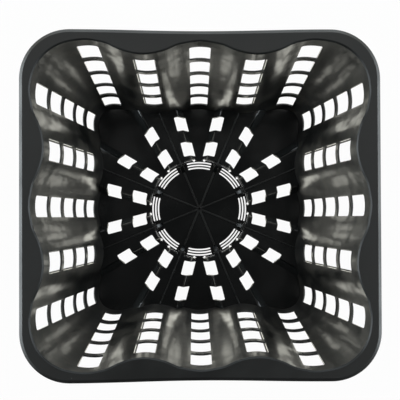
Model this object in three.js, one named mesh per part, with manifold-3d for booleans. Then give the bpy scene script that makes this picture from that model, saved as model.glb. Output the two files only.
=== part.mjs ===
// Square planting basket for ponds and garden pots, one moulding in black plastic.
// Millimetres, +Z up. The origin is under the middle of the floor, on the surface it stands on.
// The moulding is divided where its shape changes: rim, side walls, corner walls, feet,
// raised floor sectors, slotted ring, centre disc and the ribs on the disc.
import * as THREE from 'three';
import { mergeVertices } from 'three/addons/utils/BufferGeometryUtils.js';
import Module from 'manifold-3d';

const wasm = await Module();
wasm.setup();

// Overall size.
const height = 180;
const rimHalfLength = 140.8;
const rimHalfWidth = 137.4;
const rimBow = 1.5;

// Rim: a flat flange with a bevelled outer edge and a skirt turned down from it.
const rimThickness = 2;
const rimCornerRadius = 39;
const rimLip = 2;
const rimBevel = 2.5;
const skirtDrop = 8;
const skirtThickness = 1.8;

// Wall, measured to the middle of its thickness at the crest of an outward lobe.
const wallThickness = 1.6;
const rimOverhang = 5.8;
const wallReachFloor = 109.1;
const waveDepth = 10.8;
const shoulderDepth = 0.8;
const shoulderLength = 20;
const cornerOffset = 91;
const cornerEase = 0.5;
const cornerEaseLength = 32;

// Slots: one column on each lobe, each wave and each end of a corner.
const slotWidth = 17.8;
const slotHeight = 27.2;
const slotBar = 3.8;
const firstSlotDrop = 15.3;
const waveSlotDrop = 2.2;
const lowSlotRise = 2.3;

// Ribs on the outside of the wall, one along each side of a column of slots.
const sideRibWidth = 1.8;
const sideRibDepth = 2.4;
const sideRibEnd = 3;

// Floor: low feet under the lobes and raised sectors between them.
const floorThickness = 2;
const floorStep = 16.5;
const stepWall = 1.5;
const sectorCount = 8;
const stepTopAngle = 13.7;
const stepTopSpread = 5.8;
const stepFootAngle = 18.7;
const stepFootSpread = 7.8;
const drainWidth = 12.5;
const drainLength = 15.4;
const drainInset = 4.1;
const drainSpacing = 12.1;
const drainSlant = 3.2;
const drainShift = -0.6;
const ridgeWidth = 3;
const ridgeHeight = 1.2;
const tongueWidth = 8;
const tongueLength = 4;
const rampWidth = 4.6;
const rampHeight = 6;
const rampToe = 1;

// Middle of the floor: a ring with curved slots round a plain disc with ribs.
const discRadius = 41.2;
const ringWidth = 11.1;
const grilleRows = 3;
const grilleSlot = 1.7;
const grilleBar = 1.2;
const grilleAngle = 15.4;
const ribWidth = 2;
const ribHeight = 1.6;

// Gap between two parts of the moulding that are cut from each other.
const seam = 0.3;

// Fineness of curved outlines.
const wallStep = 9.5;
const cornerPieces = 4;
const arcPieces = 4;
const circlePieces = 64;

const sectorAngle = Math.PI / sectorCount;
const footHalfAngle = sectorAngle / 2;
const raisedTop = floorStep + floorThickness;
const slotPitch = slotHeight + slotBar;
const lobeRows = Math.floor((height - firstSlotDrop - floorThickness) / slotPitch);
const waveRows = Math.floor((height - firstSlotDrop - raisedTop) / slotPitch);
const rimUnderside = height - rimThickness;
const waveOffset = cornerOffset / 2;
const slotHalf = slotWidth / 2;
const ribHalf = slotHalf + sideRibWidth;
const ribTop = height - firstSlotDrop + sideRibEnd;
const cornerSteps = cornerPieces + 4;
const rampFoot = discRadius + rampToe + seam;
const ringRadius = discRadius + ringWidth;
const firstDrain = ringRadius + drainInset + drainLength / 2;

const faceOutward = [new THREE.Vector2(1, 0), new THREE.Vector2(0, 1), new THREE.Vector2(-1, 0),
  new THREE.Vector2(0, -1)];
const faceNames = ['right', 'back', 'left', 'front'];

/** Outward direction of a side, and of the next side counter-clockwise. */
function sideAxes(face) {
  return [faceOutward[face % 4], faceOutward[(face + 1) % 4]];
}

/** Distance from the middle of the basket to the wall's lobe crest, on a side and at a height. */
function lobeReach(face, z) {
  const atRim = (face % 2 === 0 ? rimHalfLength : rimHalfWidth) - rimOverhang;
  return THREE.MathUtils.lerp(wallReachFloor, atRim, z / height);
}

/** How far the front or back side bows inward at the rim, fading to nothing at the floor. */
function bowAt(face, z) {
  return face % 2 === 0 ? 0 : rimBow * z / height;
}

/** How far the wall eases inward at a distance past the middle of a corner's column of slots. */
function easeAt(past) {
  const share = THREE.MathUtils.clamp((past + slotHalf) / cornerEaseLength, 0, 1);
  return cornerEase * Math.sin(Math.PI * share) ** 2;
}

/** How far the wall stands inward of a lobe's crest, at an offset along a side and a height. */
function waveAt(face, along, z) {
  const turn = Math.PI * along / cornerOffset;
  const reach = Math.abs(along);
  const beside = Math.min(reach, Math.abs(cornerOffset - reach)) - slotHalf;
  const shoulder = Math.sin(Math.PI * THREE.MathUtils.clamp(beside / shoulderLength, 0, 1)) ** 2;
  const bow = bowAt(face, z) * Math.cos(turn / 2) ** 2;
  return waveDepth * Math.sin(turn) ** 2 - shoulderDepth * shoulder + bow + easeAt(reach - cornerOffset);
}

/** A point of the wall's middle surface on a side, and the wall's outward normal there. */
function sidePlace(face, along, z) {
  const [out, next] = sideAxes(face);
  const step = cornerOffset / 1000;
  const slope = (waveAt(face, along + step, z) - waveAt(face, along - step, z)) / (2 * step);
  const distance = lobeReach(face, z) - waveAt(face, along, z);
  const point = out.clone().multiplyScalar(distance).addScaledVector(next, along);
  const normal = out.clone().addScaledVector(next, slope).normalize();
  return { point, normal };
}

/** A point of the wall's middle surface on the corner after a side, and the normal there. */
function cornerPlace(face, angle, z) {
  const [out, next] = sideAxes(face);
  const outRadius = lobeReach(face, z) - cornerOffset;
  const nextRadius = lobeReach(face + 1, z) - cornerOffset;
  const point = out.clone().multiplyScalar(cornerOffset + outRadius * Math.cos(angle))
    .addScaledVector(next, cornerOffset + nextRadius * Math.sin(angle));
  const normal = out.clone().multiplyScalar(nextRadius * Math.cos(angle))
    .addScaledVector(next, outRadius * Math.sin(angle)).normalize();
  const past = Math.min(nextRadius * Math.sin(angle), outRadius * Math.cos(angle));
  return { point: point.addScaledVector(normal, -easeAt(past)), normal };
}

/** Angle on a corner at a height, for step 0 to cornerSteps across its slots, ribs and middle. */
function cornerAngle(face, step, z) {
  const outRadius = lobeReach(face, z) - cornerOffset;
  const nextRadius = lobeReach(face + 1, z) - cornerOffset;
  if (step === 0) return 0;
  if (step === 1) return Math.asin(slotHalf / nextRadius);
  if (step === cornerSteps - 1) return Math.acos(slotHalf / outRadius);
  if (step === cornerSteps) return Math.PI / 2;
  return THREE.MathUtils.lerp(Math.asin(ribHalf / nextRadius), Math.acos(ribHalf / outRadius),
    (step - 2) / cornerPieces);
}

/** Half the width of a raised sector at a distance along its axis and at a height. */
function sectorHalfWidth(distance, z) {
  const edgeAt = (angle, spread) => {
    const atRing = THREE.MathUtils.degToRad(angle);
    const reach = distance - ringRadius * Math.cos(atRing);
    return ringRadius * Math.sin(atRing) + reach * Math.tan(THREE.MathUtils.degToRad(spread));
  };
  const [low, top] = [edgeAt(stepFootAngle, stepFootSpread), edgeAt(stepTopAngle, stepTopSpread)];
  return THREE.MathUtils.lerp(low, top, (z - floorThickness) / floorStep);
}

/** Offset along a side where the near (-1) or far (1) edge of a raised sector meets the wall. */
function meetOffset(face, edge, z) {
  const [out, next] = sideAxes(face);
  let [low, high] = [0, cornerOffset];
  for (let turn = 0; turn < 40; turn += 1) {
    const along = (low + high) / 2;
    const { point } = sidePlace(face, along, z);
    const place = new THREE.Vector2(point.dot(out), point.dot(next))
      .rotateAround(new THREE.Vector2(), -sectorAngle);
    if (place.y < edge * sectorHalfWidth(place.x, z)) low = along;
    else high = along;
  }
  return low;
}

const footEdge = faceOutward.map((axis, face) => meetOffset(face, -1, floorStep) - seam);
const cornerEdge = faceOutward.map((axis, face) => meetOffset(face, 1, floorStep) + seam / 2);
const footEdgeLow = faceOutward.map((axis, face) => meetOffset(face, -1, floorThickness) - seam);
const cornerEdgeLow = faceOutward.map((axis, face) => meetOffset(face, 1, floorThickness) + seam);

/** Offset along a side of a wall point below the raised floor, where the arches' edges lean. */
function leanedOffset(face, along, z) {
  const share = Math.max(0, (floorStep - z) / (floorStep - floorThickness));
  const knots = [[0, 0], [ribHalf, 0], [footEdge[face], footEdgeLow[face] - footEdge[face]],
    [cornerEdge[face], cornerEdgeLow[face] - cornerEdge[face]], [cornerOffset - ribHalf, 0],
    [cornerOffset, 0]];
  const reach = Math.abs(along);
  const k = Math.max(1, knots.findIndex(([offset]) => offset >= reach));
  const [[start, first], [end, last]] = [knots[k - 1], knots[k]];
  const shift = THREE.MathUtils.lerp(first, last, (reach - start) / (end - start));
  return along + Math.sign(along) * shift * share;
}

/** Splits the stretches between sorted key values into even pieces no longer than a limit. */
function spread(keys, limit) {
  const sorted = [...new Set(keys)].sort((a, b) => a - b);
  const values = [sorted[0]];
  for (let k = 1; k < sorted.length; k += 1) {
    const pieces = Math.ceil((sorted[k] - sorted[k - 1]) / limit);
    for (let piece = 1; piece <= pieces; piece += 1) {
      values.push(THREE.MathUtils.lerp(sorted[k - 1], sorted[k], piece / pieces));
    }
  }
  return values;
}

/** Stations on a side from one offset to another, with a station at each slot and foot edge. */
function sideStations(face, from, to) {
  const keys = [from, to];
  for (const centre of [-cornerOffset, -waveOffset, 0, waveOffset, cornerOffset]) {
    keys.push(centre - ribHalf, centre - slotHalf, centre, centre + slotHalf, centre + ribHalf);
  }
  keys.push(-footEdge[face], footEdge[face]);
  const inside = keys.filter((along) => along >= from && along <= to);
  return spread(inside, wallStep).map((along) => ({ face, along }));
}

/** Stations round the corner after a side. */
function cornerStations(face) {
  return Array.from({ length: cornerSteps + 1 }, (unused, step) => ({ face, step }));
}

/** A point of the wall's section at a station and height, moved outward from the middle surface. */
function sectionPoint(station, z, outward) {
  const { face, along, step } = station;
  const place = step === undefined ? sidePlace(face, leanedOffset(face, along, z), z)
    : cornerPlace(face, cornerAngle(face, step, z), z);
  return place.point.addScaledVector(place.normal, outward);
}

/** Bottom and top of a row of slots on a lobe, counted from the rim. */
function slotSpan(row) {
  const top = height - firstSlotDrop - row * slotPitch;
  return [top - slotHeight, top];
}

/** Height at a station of a level across the wall: slots sit lower on the waves, where the last
 * row above the raised floor is also less high, as it is at the corners. */
function levelHeight(station, z) {
  if (z <= floorStep || z >= height - firstSlotDrop + sideRibEnd / 2) return z;
  const reach = Math.abs(offsetOf(station));
  const onWave = station.step === undefined ? Math.sin(Math.PI * reach / cornerOffset) ** 2 : 0;
  const beside = THREE.MathUtils.clamp((reach - ribHalf) / (waveOffset - 2 * ribHalf), 0, 1);
  const isLastRow = Math.abs(z - slotSpan(waveRows - 1)[0]) < slotBar / 4;
  return z - waveSlotDrop * onWave + (isLastRow ? lowSlotRise * beside : 0);
}

/** Offset along its side of a station; the ends of a corner count as the ends of its sides. */
function offsetOf(station) {
  if (station.step === undefined) return station.along;
  return station.step === 0 ? cornerOffset : -cornerOffset;
}

/** Distance along the wall between the middle of two stations and their column of slots. */
function columnPlace(left, right) {
  if (left.step !== undefined && right.step !== undefined) {
    const step = Math.min(left.step, cornerSteps - right.step);
    const offset = [slotHalf / 2, (slotHalf + ribHalf) / 2][step] ?? cornerOffset;
    return { offset, onWave: false };
  }
  const middle = Math.abs((offsetOf(left) + offsetOf(right)) / 2);
  const onWave = Math.abs(middle - waveOffset) < ribHalf;
  const offset = onWave ? Math.abs(middle - waveOffset) : Math.min(middle, Math.abs(middle - cornerOffset));
  return { offset, onWave };
}

/** True where a slot opens the wall between two stations, at a height. */
function isSlot(left, right, z) {
  const row = Array.from({ length: lobeRows }, (unused, k) => k).find((k) => {
    const [low, high] = slotSpan(k);
    return z > low && z < high;
  });
  const { offset, onWave } = columnPlace(left, right);
  return row !== undefined && offset < slotHalf && !(onWave && row >= waveRows);
}

/** True where a rib stands out from the wall between two stations, at a height. */
function isRib(left, right, z) {
  const { offset } = columnPlace(left, right);
  return offset > slotHalf && offset < ribHalf && z < ribTop;
}

/** True where the wall stands over a channel, so that it ends at the raised floor. */
function isArch(left, right, z) {
  if (z > floorStep || (left.step !== undefined && right.step !== undefined)) return false;
  const middle = Math.abs((offsetOf(left) + offsetOf(right)) / 2);
  return middle > footEdge[left.face] && middle < cornerEdge[left.face];
}

/** Turns a list of quads into a closed mesh geometry. */
function geometryOfQuads(quads) {
  const positions = [];
  for (const [a, b, c, d] of quads) {
    for (const vertex of [a, b, c, a, c, d]) positions.push(vertex.x, vertex.y, vertex.z);
  }
  const geometry = new THREE.BufferGeometry();
  geometry.setAttribute('position', new THREE.Float32BufferAttribute(positions, 3));
  geometry.computeVertexNormals();
  return geometry;
}

/** A piece of wall over a run of stations, with its ribs, and its slots and arches left open. */
function wallGeometry(stations) {
  const slotEdges = Array.from({ length: lobeRows }, (unused, row) => slotSpan(row)).flat();
  const levels = [floorThickness, floorStep, ribTop, rimUnderside, ...slotEdges].sort((a, b) => a - b);
  const halfWall = wallThickness / 2;
  const skins = [-halfWall, halfWall, halfWall + sideRibDepth].map((outward) => (
    stations.map((station) => levels.map((z) => {
      const up = levelHeight(station, z);
      const point = sectionPoint(station, up, outward);
      return new THREE.Vector3(point.x, point.y, up);
    }))));
  const isSolid = (i, j, layer) => {
    if (i < 0 || j < 0 || i >= stations.length - 1 || j >= levels.length - 1) return false;
    const [left, right] = [stations[i], stations[i + 1]];
    const z = (levels[j] + levels[j + 1]) / 2;
    if (isSlot(left, right, z) || isArch(left, right, z)) return false;
    return layer === 0 || (layer === 1 && isRib(left, right, z));
  };
  const quads = [];
  for (let i = 0; i < stations.length - 1; i += 1) {
    for (let j = 0; j < levels.length - 1; j += 1) {
      for (const layer of [0, 1]) {
        if (!isSolid(i, j, layer)) continue;
        const [near, far] = [skins[layer], skins[layer + 1]];
        if (!isSolid(i, j, layer + 1)) {
          quads.push([far[i][j], far[i + 1][j], far[i + 1][j + 1], far[i][j + 1]]);
        }
        if (!isSolid(i, j, layer - 1)) {
          quads.push([near[i][j], near[i][j + 1], near[i + 1][j + 1], near[i + 1][j]]);
        }
        if (!isSolid(i - 1, j, layer)) {
          quads.push([far[i][j], far[i][j + 1], near[i][j + 1], near[i][j]]);
        }
        if (!isSolid(i + 1, j, layer)) {
          quads.push([near[i + 1][j], near[i + 1][j + 1], far[i + 1][j + 1], far[i + 1][j]]);
        }
        if (!isSolid(i, j - 1, layer)) {
          quads.push([far[i][j], near[i][j], near[i + 1][j], far[i + 1][j]]);
        }
        if (!isSolid(i, j + 1, layer)) {
          quads.push([far[i][j + 1], far[i + 1][j + 1], near[i + 1][j + 1], near[i][j + 1]]);
        }
      }
    }
  }
  return geometryOfQuads(quads);
}

/** Side wall between its two corners. */
function sideWall(face) {
  const half = cornerEdge[face] - seam;
  return wallGeometry(sideStations(face, -half, half));
}

/** Corner wall after a side: the end of that side, the round corner and the start of the next. */
function cornerWall(face) {
  const next = (face + 1) % 4;
  const before = sideStations(face, cornerEdge[face], cornerOffset).slice(0, -1);
  const after = sideStations(next, -cornerOffset, -cornerEdge[next]).slice(1);
  return wallGeometry([...before, ...cornerStations(face), ...after]);
}

/** All stations round the basket, counter-clockwise, each place once. */
function allStations() {
  return [0, 1, 2, 3].flatMap((face) => [
    ...sideStations(face, -cornerOffset, cornerOffset).slice(0, -1),
    ...cornerStations(face).slice(0, -1),
  ]);
}

/** A point on the rim's outer edge beside a wall station, moved inward by an inset. */
function rimEdgePoint(station, inset) {
  const { face, along, step } = station;
  const [out, next] = sideAxes(face);
  const halfOut = face % 2 === 0 ? rimHalfLength : rimHalfWidth;
  const halfNext = face % 2 === 0 ? rimHalfWidth : rimHalfLength;
  const radius = rimCornerRadius - inset;
  if (step !== undefined) {
    const angle = cornerAngle(face, step, height);
    return out.clone().multiplyScalar(halfOut - rimCornerRadius + radius * Math.cos(angle))
      .addScaledVector(next, halfNext - rimCornerRadius + radius * Math.sin(angle));
  }
  const bow = bowAt(face, height) * Math.cos(Math.PI * along / (2 * cornerOffset)) ** 2;
  return out.clone().multiplyScalar(halfOut - inset - bow)
    .addScaledVector(next, along * (halfNext - rimCornerRadius) / cornerOffset);
}

/** Flat flange over the wall, with its wavy inner edge and the skirt round its outer edge. */
function rimGeometry() {
  const innerEdge = -wallThickness / 2 - rimLip;
  const rings = allStations().map((station) => {
    const inner = sectionPoint(station, height, innerEdge);
    const edge = (inset, z) => {
      const point = rimEdgePoint(station, inset);
      return new THREE.Vector3(point.x, point.y, z);
    };
    return [
      new THREE.Vector3(inner.x, inner.y, height),
      edge(rimBevel, height),
      edge(0, height - rimBevel),
      edge(0, height - skirtDrop),
      edge(skirtThickness, height - skirtDrop),
      edge(rimBevel + skirtThickness / 2, rimUnderside),
      new THREE.Vector3(inner.x, inner.y, rimUnderside),
    ];
  });
  const quads = [];
  rings.forEach((ring, i) => {
    const nextRing = rings[(i + 1) % rings.length];
    ring.forEach((vertex, k) => {
      const nextVertex = (k + 1) % ring.length;
      quads.push([vertex, ring[nextVertex], nextRing[nextVertex], nextRing[k]]);
    });
  });
  return geometryOfQuads(quads);
}

/** Closed solid from a geometry, for joining and cutting. */
function solidOf(geometry) {
  const bare = geometry.index ? geometry.toNonIndexed() : geometry.clone();
  bare.deleteAttribute('normal');
  bare.deleteAttribute('uv');
  const merged = mergeVertices(bare, 1e-4);
  return new wasm.Manifold(new wasm.Mesh({
    numProp: 3,
    vertProperties: new Float32Array(merged.attributes.position.array),
    triVerts: new Uint32Array(merged.index.array),
  }));
}

/** Geometry of a joined or cut solid. */
function geometryOf(solid) {
  const mesh = solid.getMesh();
  const geometry = new THREE.BufferGeometry();
  geometry.setAttribute('position', new THREE.BufferAttribute(mesh.vertProperties, 3));
  geometry.setIndex(new THREE.BufferAttribute(mesh.triVerts, 1));
  geometry.computeVertexNormals();
  return geometry;
}

/** Upright solid over a flat outline, between two heights. */
function prism(points, bottom, top) {
  const geometry = new THREE.ExtrudeGeometry(new THREE.Shape(points),
    { depth: top - bottom, bevelEnabled: false });
  return geometry.translate(0, 0, bottom);
}

/** Outline of the wall's section at a height, moved outward from the middle surface. */
function sectionOutline(z, outward) {
  return allStations().map((station) => sectionPoint(station, z, outward));
}

/** Points along a circle about the origin. */
function circlePoints(radius, from, to, pieces) {
  return Array.from({ length: pieces + 1 }, (unused, k) => {
    const angle = THREE.MathUtils.lerp(from, to, k / pieces);
    return new THREE.Vector2(radius * Math.cos(angle), radius * Math.sin(angle));
  });
}

/** Round solid about the middle axis. */
function roundSolid(radius, bottom, top) {
  return solidOf(prism(circlePoints(radius, 0, 2 * Math.PI, circlePieces).slice(0, -1), bottom, top));
}

/** A raised sector's body outside a radius, with leaning sides moved in by a margin. */
function sectorBlock(direction, innerRadius, bottom, top, margin) {
  const widths = [floorThickness, raisedTop].map((z) => sectorHalfWidth(ringRadius, z));
  const across = margin * Math.hypot(1, (widths[0] - widths[1]) / floorStep);
  const corners = [];
  for (const distance of [0.8 * innerRadius, 2 * rimHalfLength]) {
    for (const z of [bottom, top]) {
      const half = sectorHalfWidth(distance, z) - across;
      corners.push([distance, -half, z], [distance, half, z]);
    }
  }
  const body = wasm.Manifold.hull(corners).rotate([0, 0, THREE.MathUtils.radToDeg(direction)]);
  return body.subtract(roundSolid(innerRadius, bottom - 1, top + 1));
}

/** The drain holes on both edges of a sector, cut down through floor and step. */
function drainCuts(direction) {
  const slant = Math.tan(THREE.MathUtils.degToRad(drainSlant));
  const cuts = [];
  for (const side of [-1, 1]) {
    for (const radius of [firstDrain, firstDrain + drainLength + drainSpacing]) {
      const corners = [[-1, -1], [1, -1], [1, 1], [-1, 1]].map(([end, edge]) => {
        const reach = radius + end * drainLength / 2;
        const inward = drainShift + (reach - firstDrain) * slant + edge * drainWidth / 2;
        return new THREE.Vector2(reach, -inward);
      });
      const flat = corners.map((corner) => new THREE.Vector2(corner.x, side * corner.y)
        .rotateAround(new THREE.Vector2(), direction + side * footHalfAngle));
      cuts.push(solidOf(prism(flat, -raisedTop, 3 * raisedTop)));
    }
  }
  return cuts;
}

/** Cuts a list of solids from a solid. */
function cutAll(solid, cuts) {
  return cuts.reduce((left, cut) => left.subtract(cut), solid);
}

/** Low floor and foot under one lobe; the wall's lobe stands on it. */
function foot(direction) {
  const reach = 2 * rimHalfLength;
  const sides = [direction - sectorAngle, direction + sectorAngle];
  const wedge = [new THREE.Vector2(), ...sides.map((angle) => (
    new THREE.Vector2(reach * Math.cos(angle), reach * Math.sin(angle))))];
  const underWall = solidOf(prism(sectionOutline(floorThickness, wallThickness / 2), 0, floorThickness));
  const slab = underWall.intersect(solidOf(prism(wedge, -1, raisedTop)))
    .subtract(roundSolid(ringRadius + seam, -1, raisedTop));
  const beside = sides.map((angle) => sectorBlock(angle, ringRadius / 2, -1, raisedTop, -seam));
  const drains = sides.flatMap((angle) => drainCuts(angle));
  return geometryOf(cutAll(slab, [...beside, ...drains]));
}

/** A bar that runs outward from the middle: its side view as distance and height, and its width. */
function radialBar(direction, sideView, width) {
  const outline = new THREE.Shape(sideView.map(([r, z]) => new THREE.Vector2(r, z)));
  const geometry = new THREE.ExtrudeGeometry(outline, { depth: width, bevelEnabled: false });
  geometry.translate(0, 0, -width / 2).rotateX(Math.PI / 2).rotateZ(direction);
  return geometry;
}

/** Raised floor between two feet, with its step walls, its end over the ring, and the ridge. */
function raisedSector(direction) {
  const endRadius = ringRadius + seam;
  const block = sectorBlock(direction, endRadius, 0, raisedTop, 0);
  const channel = sectorBlock(direction, endRadius + stepWall, -1, floorStep, stepWall);
  const overRing = floorThickness + seam;
  const plateMiddle = floorStep + floorThickness / 2;
  const wallMiddle = endRadius + stepWall / 2;
  const tongueEnd = endRadius - tongueLength;
  const tongue = radialBar(direction, [[wallMiddle, overRing], [wallMiddle, raisedTop],
    [tongueEnd, raisedTop], [tongueEnd, overRing]], tongueWidth);
  const ramp = radialBar(direction, [[endRadius, overRing], [endRadius, floorThickness + rampHeight],
    [tongueEnd, floorThickness + rampHeight], [rampFoot, floorThickness + rampToe], [rampFoot, overRing]],
  rampWidth);
  const ridge = radialBar(direction, [[tongueEnd, plateMiddle], [2 * rimHalfLength, plateMiddle],
    [2 * rimHalfLength, raisedTop + ridgeHeight], [tongueEnd, raisedTop + ridgeHeight]], ridgeWidth);
  const clear = -wallThickness / 2 - seam;
  const lowRoom = solidOf(prism(sectionOutline(floorThickness, clear), -1, floorStep));
  const highRoom = solidOf(prism(sectionOutline(floorStep, clear), floorStep, raisedTop + 2 * ridgeHeight));
  const shell = [tongue, ramp, ridge].reduce((left, bar) => left.add(solidOf(bar)), block.subtract(channel));
  const fitted = shell.intersect(lowRoom.add(highRoom));
  return geometryOf(cutAll(fitted, drainCuts(direction)));
}

/** Ring round the disc, with groups of curved slots between the raised sectors' ends. */
function ringGeometry() {
  const shape = new THREE.Shape(circlePoints(ringRadius, 0, 2 * Math.PI, circlePieces).slice(0, -1));
  const innerEdge = circlePoints(discRadius + seam, 0, 2 * Math.PI, circlePieces).slice(0, -1);
  shape.holes.push(new THREE.Path(innerEdge));
  const halfAngle = THREE.MathUtils.degToRad(grilleAngle);
  const grilleWidth = grilleRows * grilleSlot + (grilleRows - 1) * grilleBar;
  const firstRadius = (discRadius + seam + ringRadius - grilleWidth) / 2;
  for (let group = 0; group < sectorCount; group += 1) {
    const direction = 2 * sectorAngle * group;
    for (let row = 0; row < grilleRows; row += 1) {
      const inner = firstRadius + row * (grilleSlot + grilleBar);
      const near = circlePoints(inner, direction - halfAngle, direction + halfAngle, arcPieces);
      const far = circlePoints(inner + grilleSlot, direction - halfAngle, direction + halfAngle, arcPieces);
      shape.holes.push(new THREE.Path([...near, ...far.reverse()]));
    }
  }
  return new THREE.ExtrudeGeometry(shape, { depth: floorThickness, bevelEnabled: false });
}

/** Plain disc in the middle of the floor. */
function discGeometry() {
  return prism(circlePoints(discRadius, 0, 2 * Math.PI, circlePieces).slice(0, -1), 0, floorThickness);
}

/** Star of ribs on the disc, each in line with the ridge of a raised sector. */
function ribStar() {
  const outline = [];
  const half = ribWidth / 2;
  const endRadius = rampFoot - seam;
  for (let arm = 0; arm < sectorCount; arm += 1) {
    const direction = sectorAngle * (2 * arm + 1);
    const along = new THREE.Vector2(Math.cos(direction), Math.sin(direction));
    const across = new THREE.Vector2(-along.y, along.x);
    outline.push(along.clone().multiplyScalar(endRadius).addScaledVector(across, -half));
    outline.push(along.clone().multiplyScalar(endRadius).addScaledVector(across, half));
    const valley = direction + sectorAngle;
    outline.push(new THREE.Vector2(Math.cos(valley), Math.sin(valley))
      .multiplyScalar(half / Math.sin(sectorAngle)));
  }
  return prism(outline, floorThickness, floorThickness + ribHeight);
}

const satin = { color: 0x2b2e2e, roughness: 0.5, metalness: 0 };
const gloss = { color: 0x1c1e1e, roughness: 0.3, metalness: 0 };
const dull = { color: 0x151717, roughness: 0.55, metalness: 0 };

const basket = new THREE.Group();

/** Adds a named part of the moulding to the basket. */
function addPart(name, geometry, finish) {
  const mesh = new THREE.Mesh(geometry, new THREE.MeshStandardMaterial(finish));
  mesh.name = name;
  basket.add(mesh);
}

addPart('rim_flange', rimGeometry(), satin);
faceNames.forEach((name, face) => {
  addPart(`side_wall_${name}`, sideWall(face), gloss);
});
faceNames.forEach((name, face) => {
  const next = faceNames[(face + 1) % 4];
  addPart(`corner_wall_${face % 2 === 0 ? `${next}_${name}` : `${name}_${next}`}`, cornerWall(face), gloss);
});
faceNames.forEach((name, face) => {
  addPart(`side_foot_${name}`, foot(face * Math.PI / 2), dull);
});
faceNames.forEach((name, face) => {
  const next = faceNames[(face + 1) % 4];
  addPart(`corner_foot_${face % 2 === 0 ? `${next}_${name}` : `${name}_${next}`}`,
    foot((face + 0.5) * Math.PI / 2), dull);
});
for (let sector = 0; sector < sectorCount; sector += 1) {
  addPart(`raised_sector_${sector + 1}`, raisedSector(sectorAngle * (2 * sector + 1)), dull);
}
addPart('slotted_ring', ringGeometry(), dull);
addPart('centre_disc', discGeometry(), dull);
addPart('centre_ribs', ribStar(), dull);

export default basket;
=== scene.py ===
"""Square planting basket in black polypropylene: its pieces, finishes, light and camera.

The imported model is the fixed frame. Each part of the moulding is built again here with rounded
edges and fine curves, in the same place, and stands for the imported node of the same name.
Lengths are millimetres until a mesh is made, and then metres.
"""
import logging
import math
from dataclasses import dataclass, field
from enum import Enum
from typing import Callable

import bpy
import numpy as np
from mathutils import Matrix, Vector
from mathutils.geometry import delaunay_2d_cdt


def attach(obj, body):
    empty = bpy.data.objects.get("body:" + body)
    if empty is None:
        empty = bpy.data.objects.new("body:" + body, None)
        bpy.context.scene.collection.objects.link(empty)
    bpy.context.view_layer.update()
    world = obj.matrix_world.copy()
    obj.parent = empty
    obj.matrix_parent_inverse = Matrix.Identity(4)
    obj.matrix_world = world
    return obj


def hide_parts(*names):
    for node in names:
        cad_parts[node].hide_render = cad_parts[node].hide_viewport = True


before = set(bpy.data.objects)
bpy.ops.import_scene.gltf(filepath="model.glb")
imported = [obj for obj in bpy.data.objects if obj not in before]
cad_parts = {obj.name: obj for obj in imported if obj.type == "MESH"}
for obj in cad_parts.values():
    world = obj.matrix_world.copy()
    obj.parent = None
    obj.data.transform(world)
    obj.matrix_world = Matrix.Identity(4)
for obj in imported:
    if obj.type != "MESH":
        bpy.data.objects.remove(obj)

LOG = logging.getLogger("basket")
METRES = 0.001
TINY = 1e-12
SEARCH_ROUNDS = 20
SHEET_EDGE = 0.35
NUDGE = 0.01
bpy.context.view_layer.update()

Place = Callable[[np.ndarray, np.ndarray], np.ndarray]


class Side(Enum):
    """The four sides of the basket, counter-clockwise from +X."""

    RIGHT = 0
    BACK = 1
    LEFT = 2
    FRONT = 3

    @property
    def word(self) -> str:
        """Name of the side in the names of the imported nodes."""
        return self.name.lower()


class Slot(Enum):
    """The record's material slots."""

    RIM = "rim_plastic"
    WALL = "wall_plastic"
    FLOOR = "floor_plastic"


def corner_word(side: Side) -> str:
    """Name of the corner after a side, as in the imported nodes.

    Args:
        side: the side before the corner, counter-clockwise.

    Returns:
        The two sides' words, the back or front one first.
    """
    following = Side((side.value + 1) % 4)
    first, last = (following, side) if side.value % 2 == 0 else (side, following)
    return f"{first.word}_{last.word}"


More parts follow.
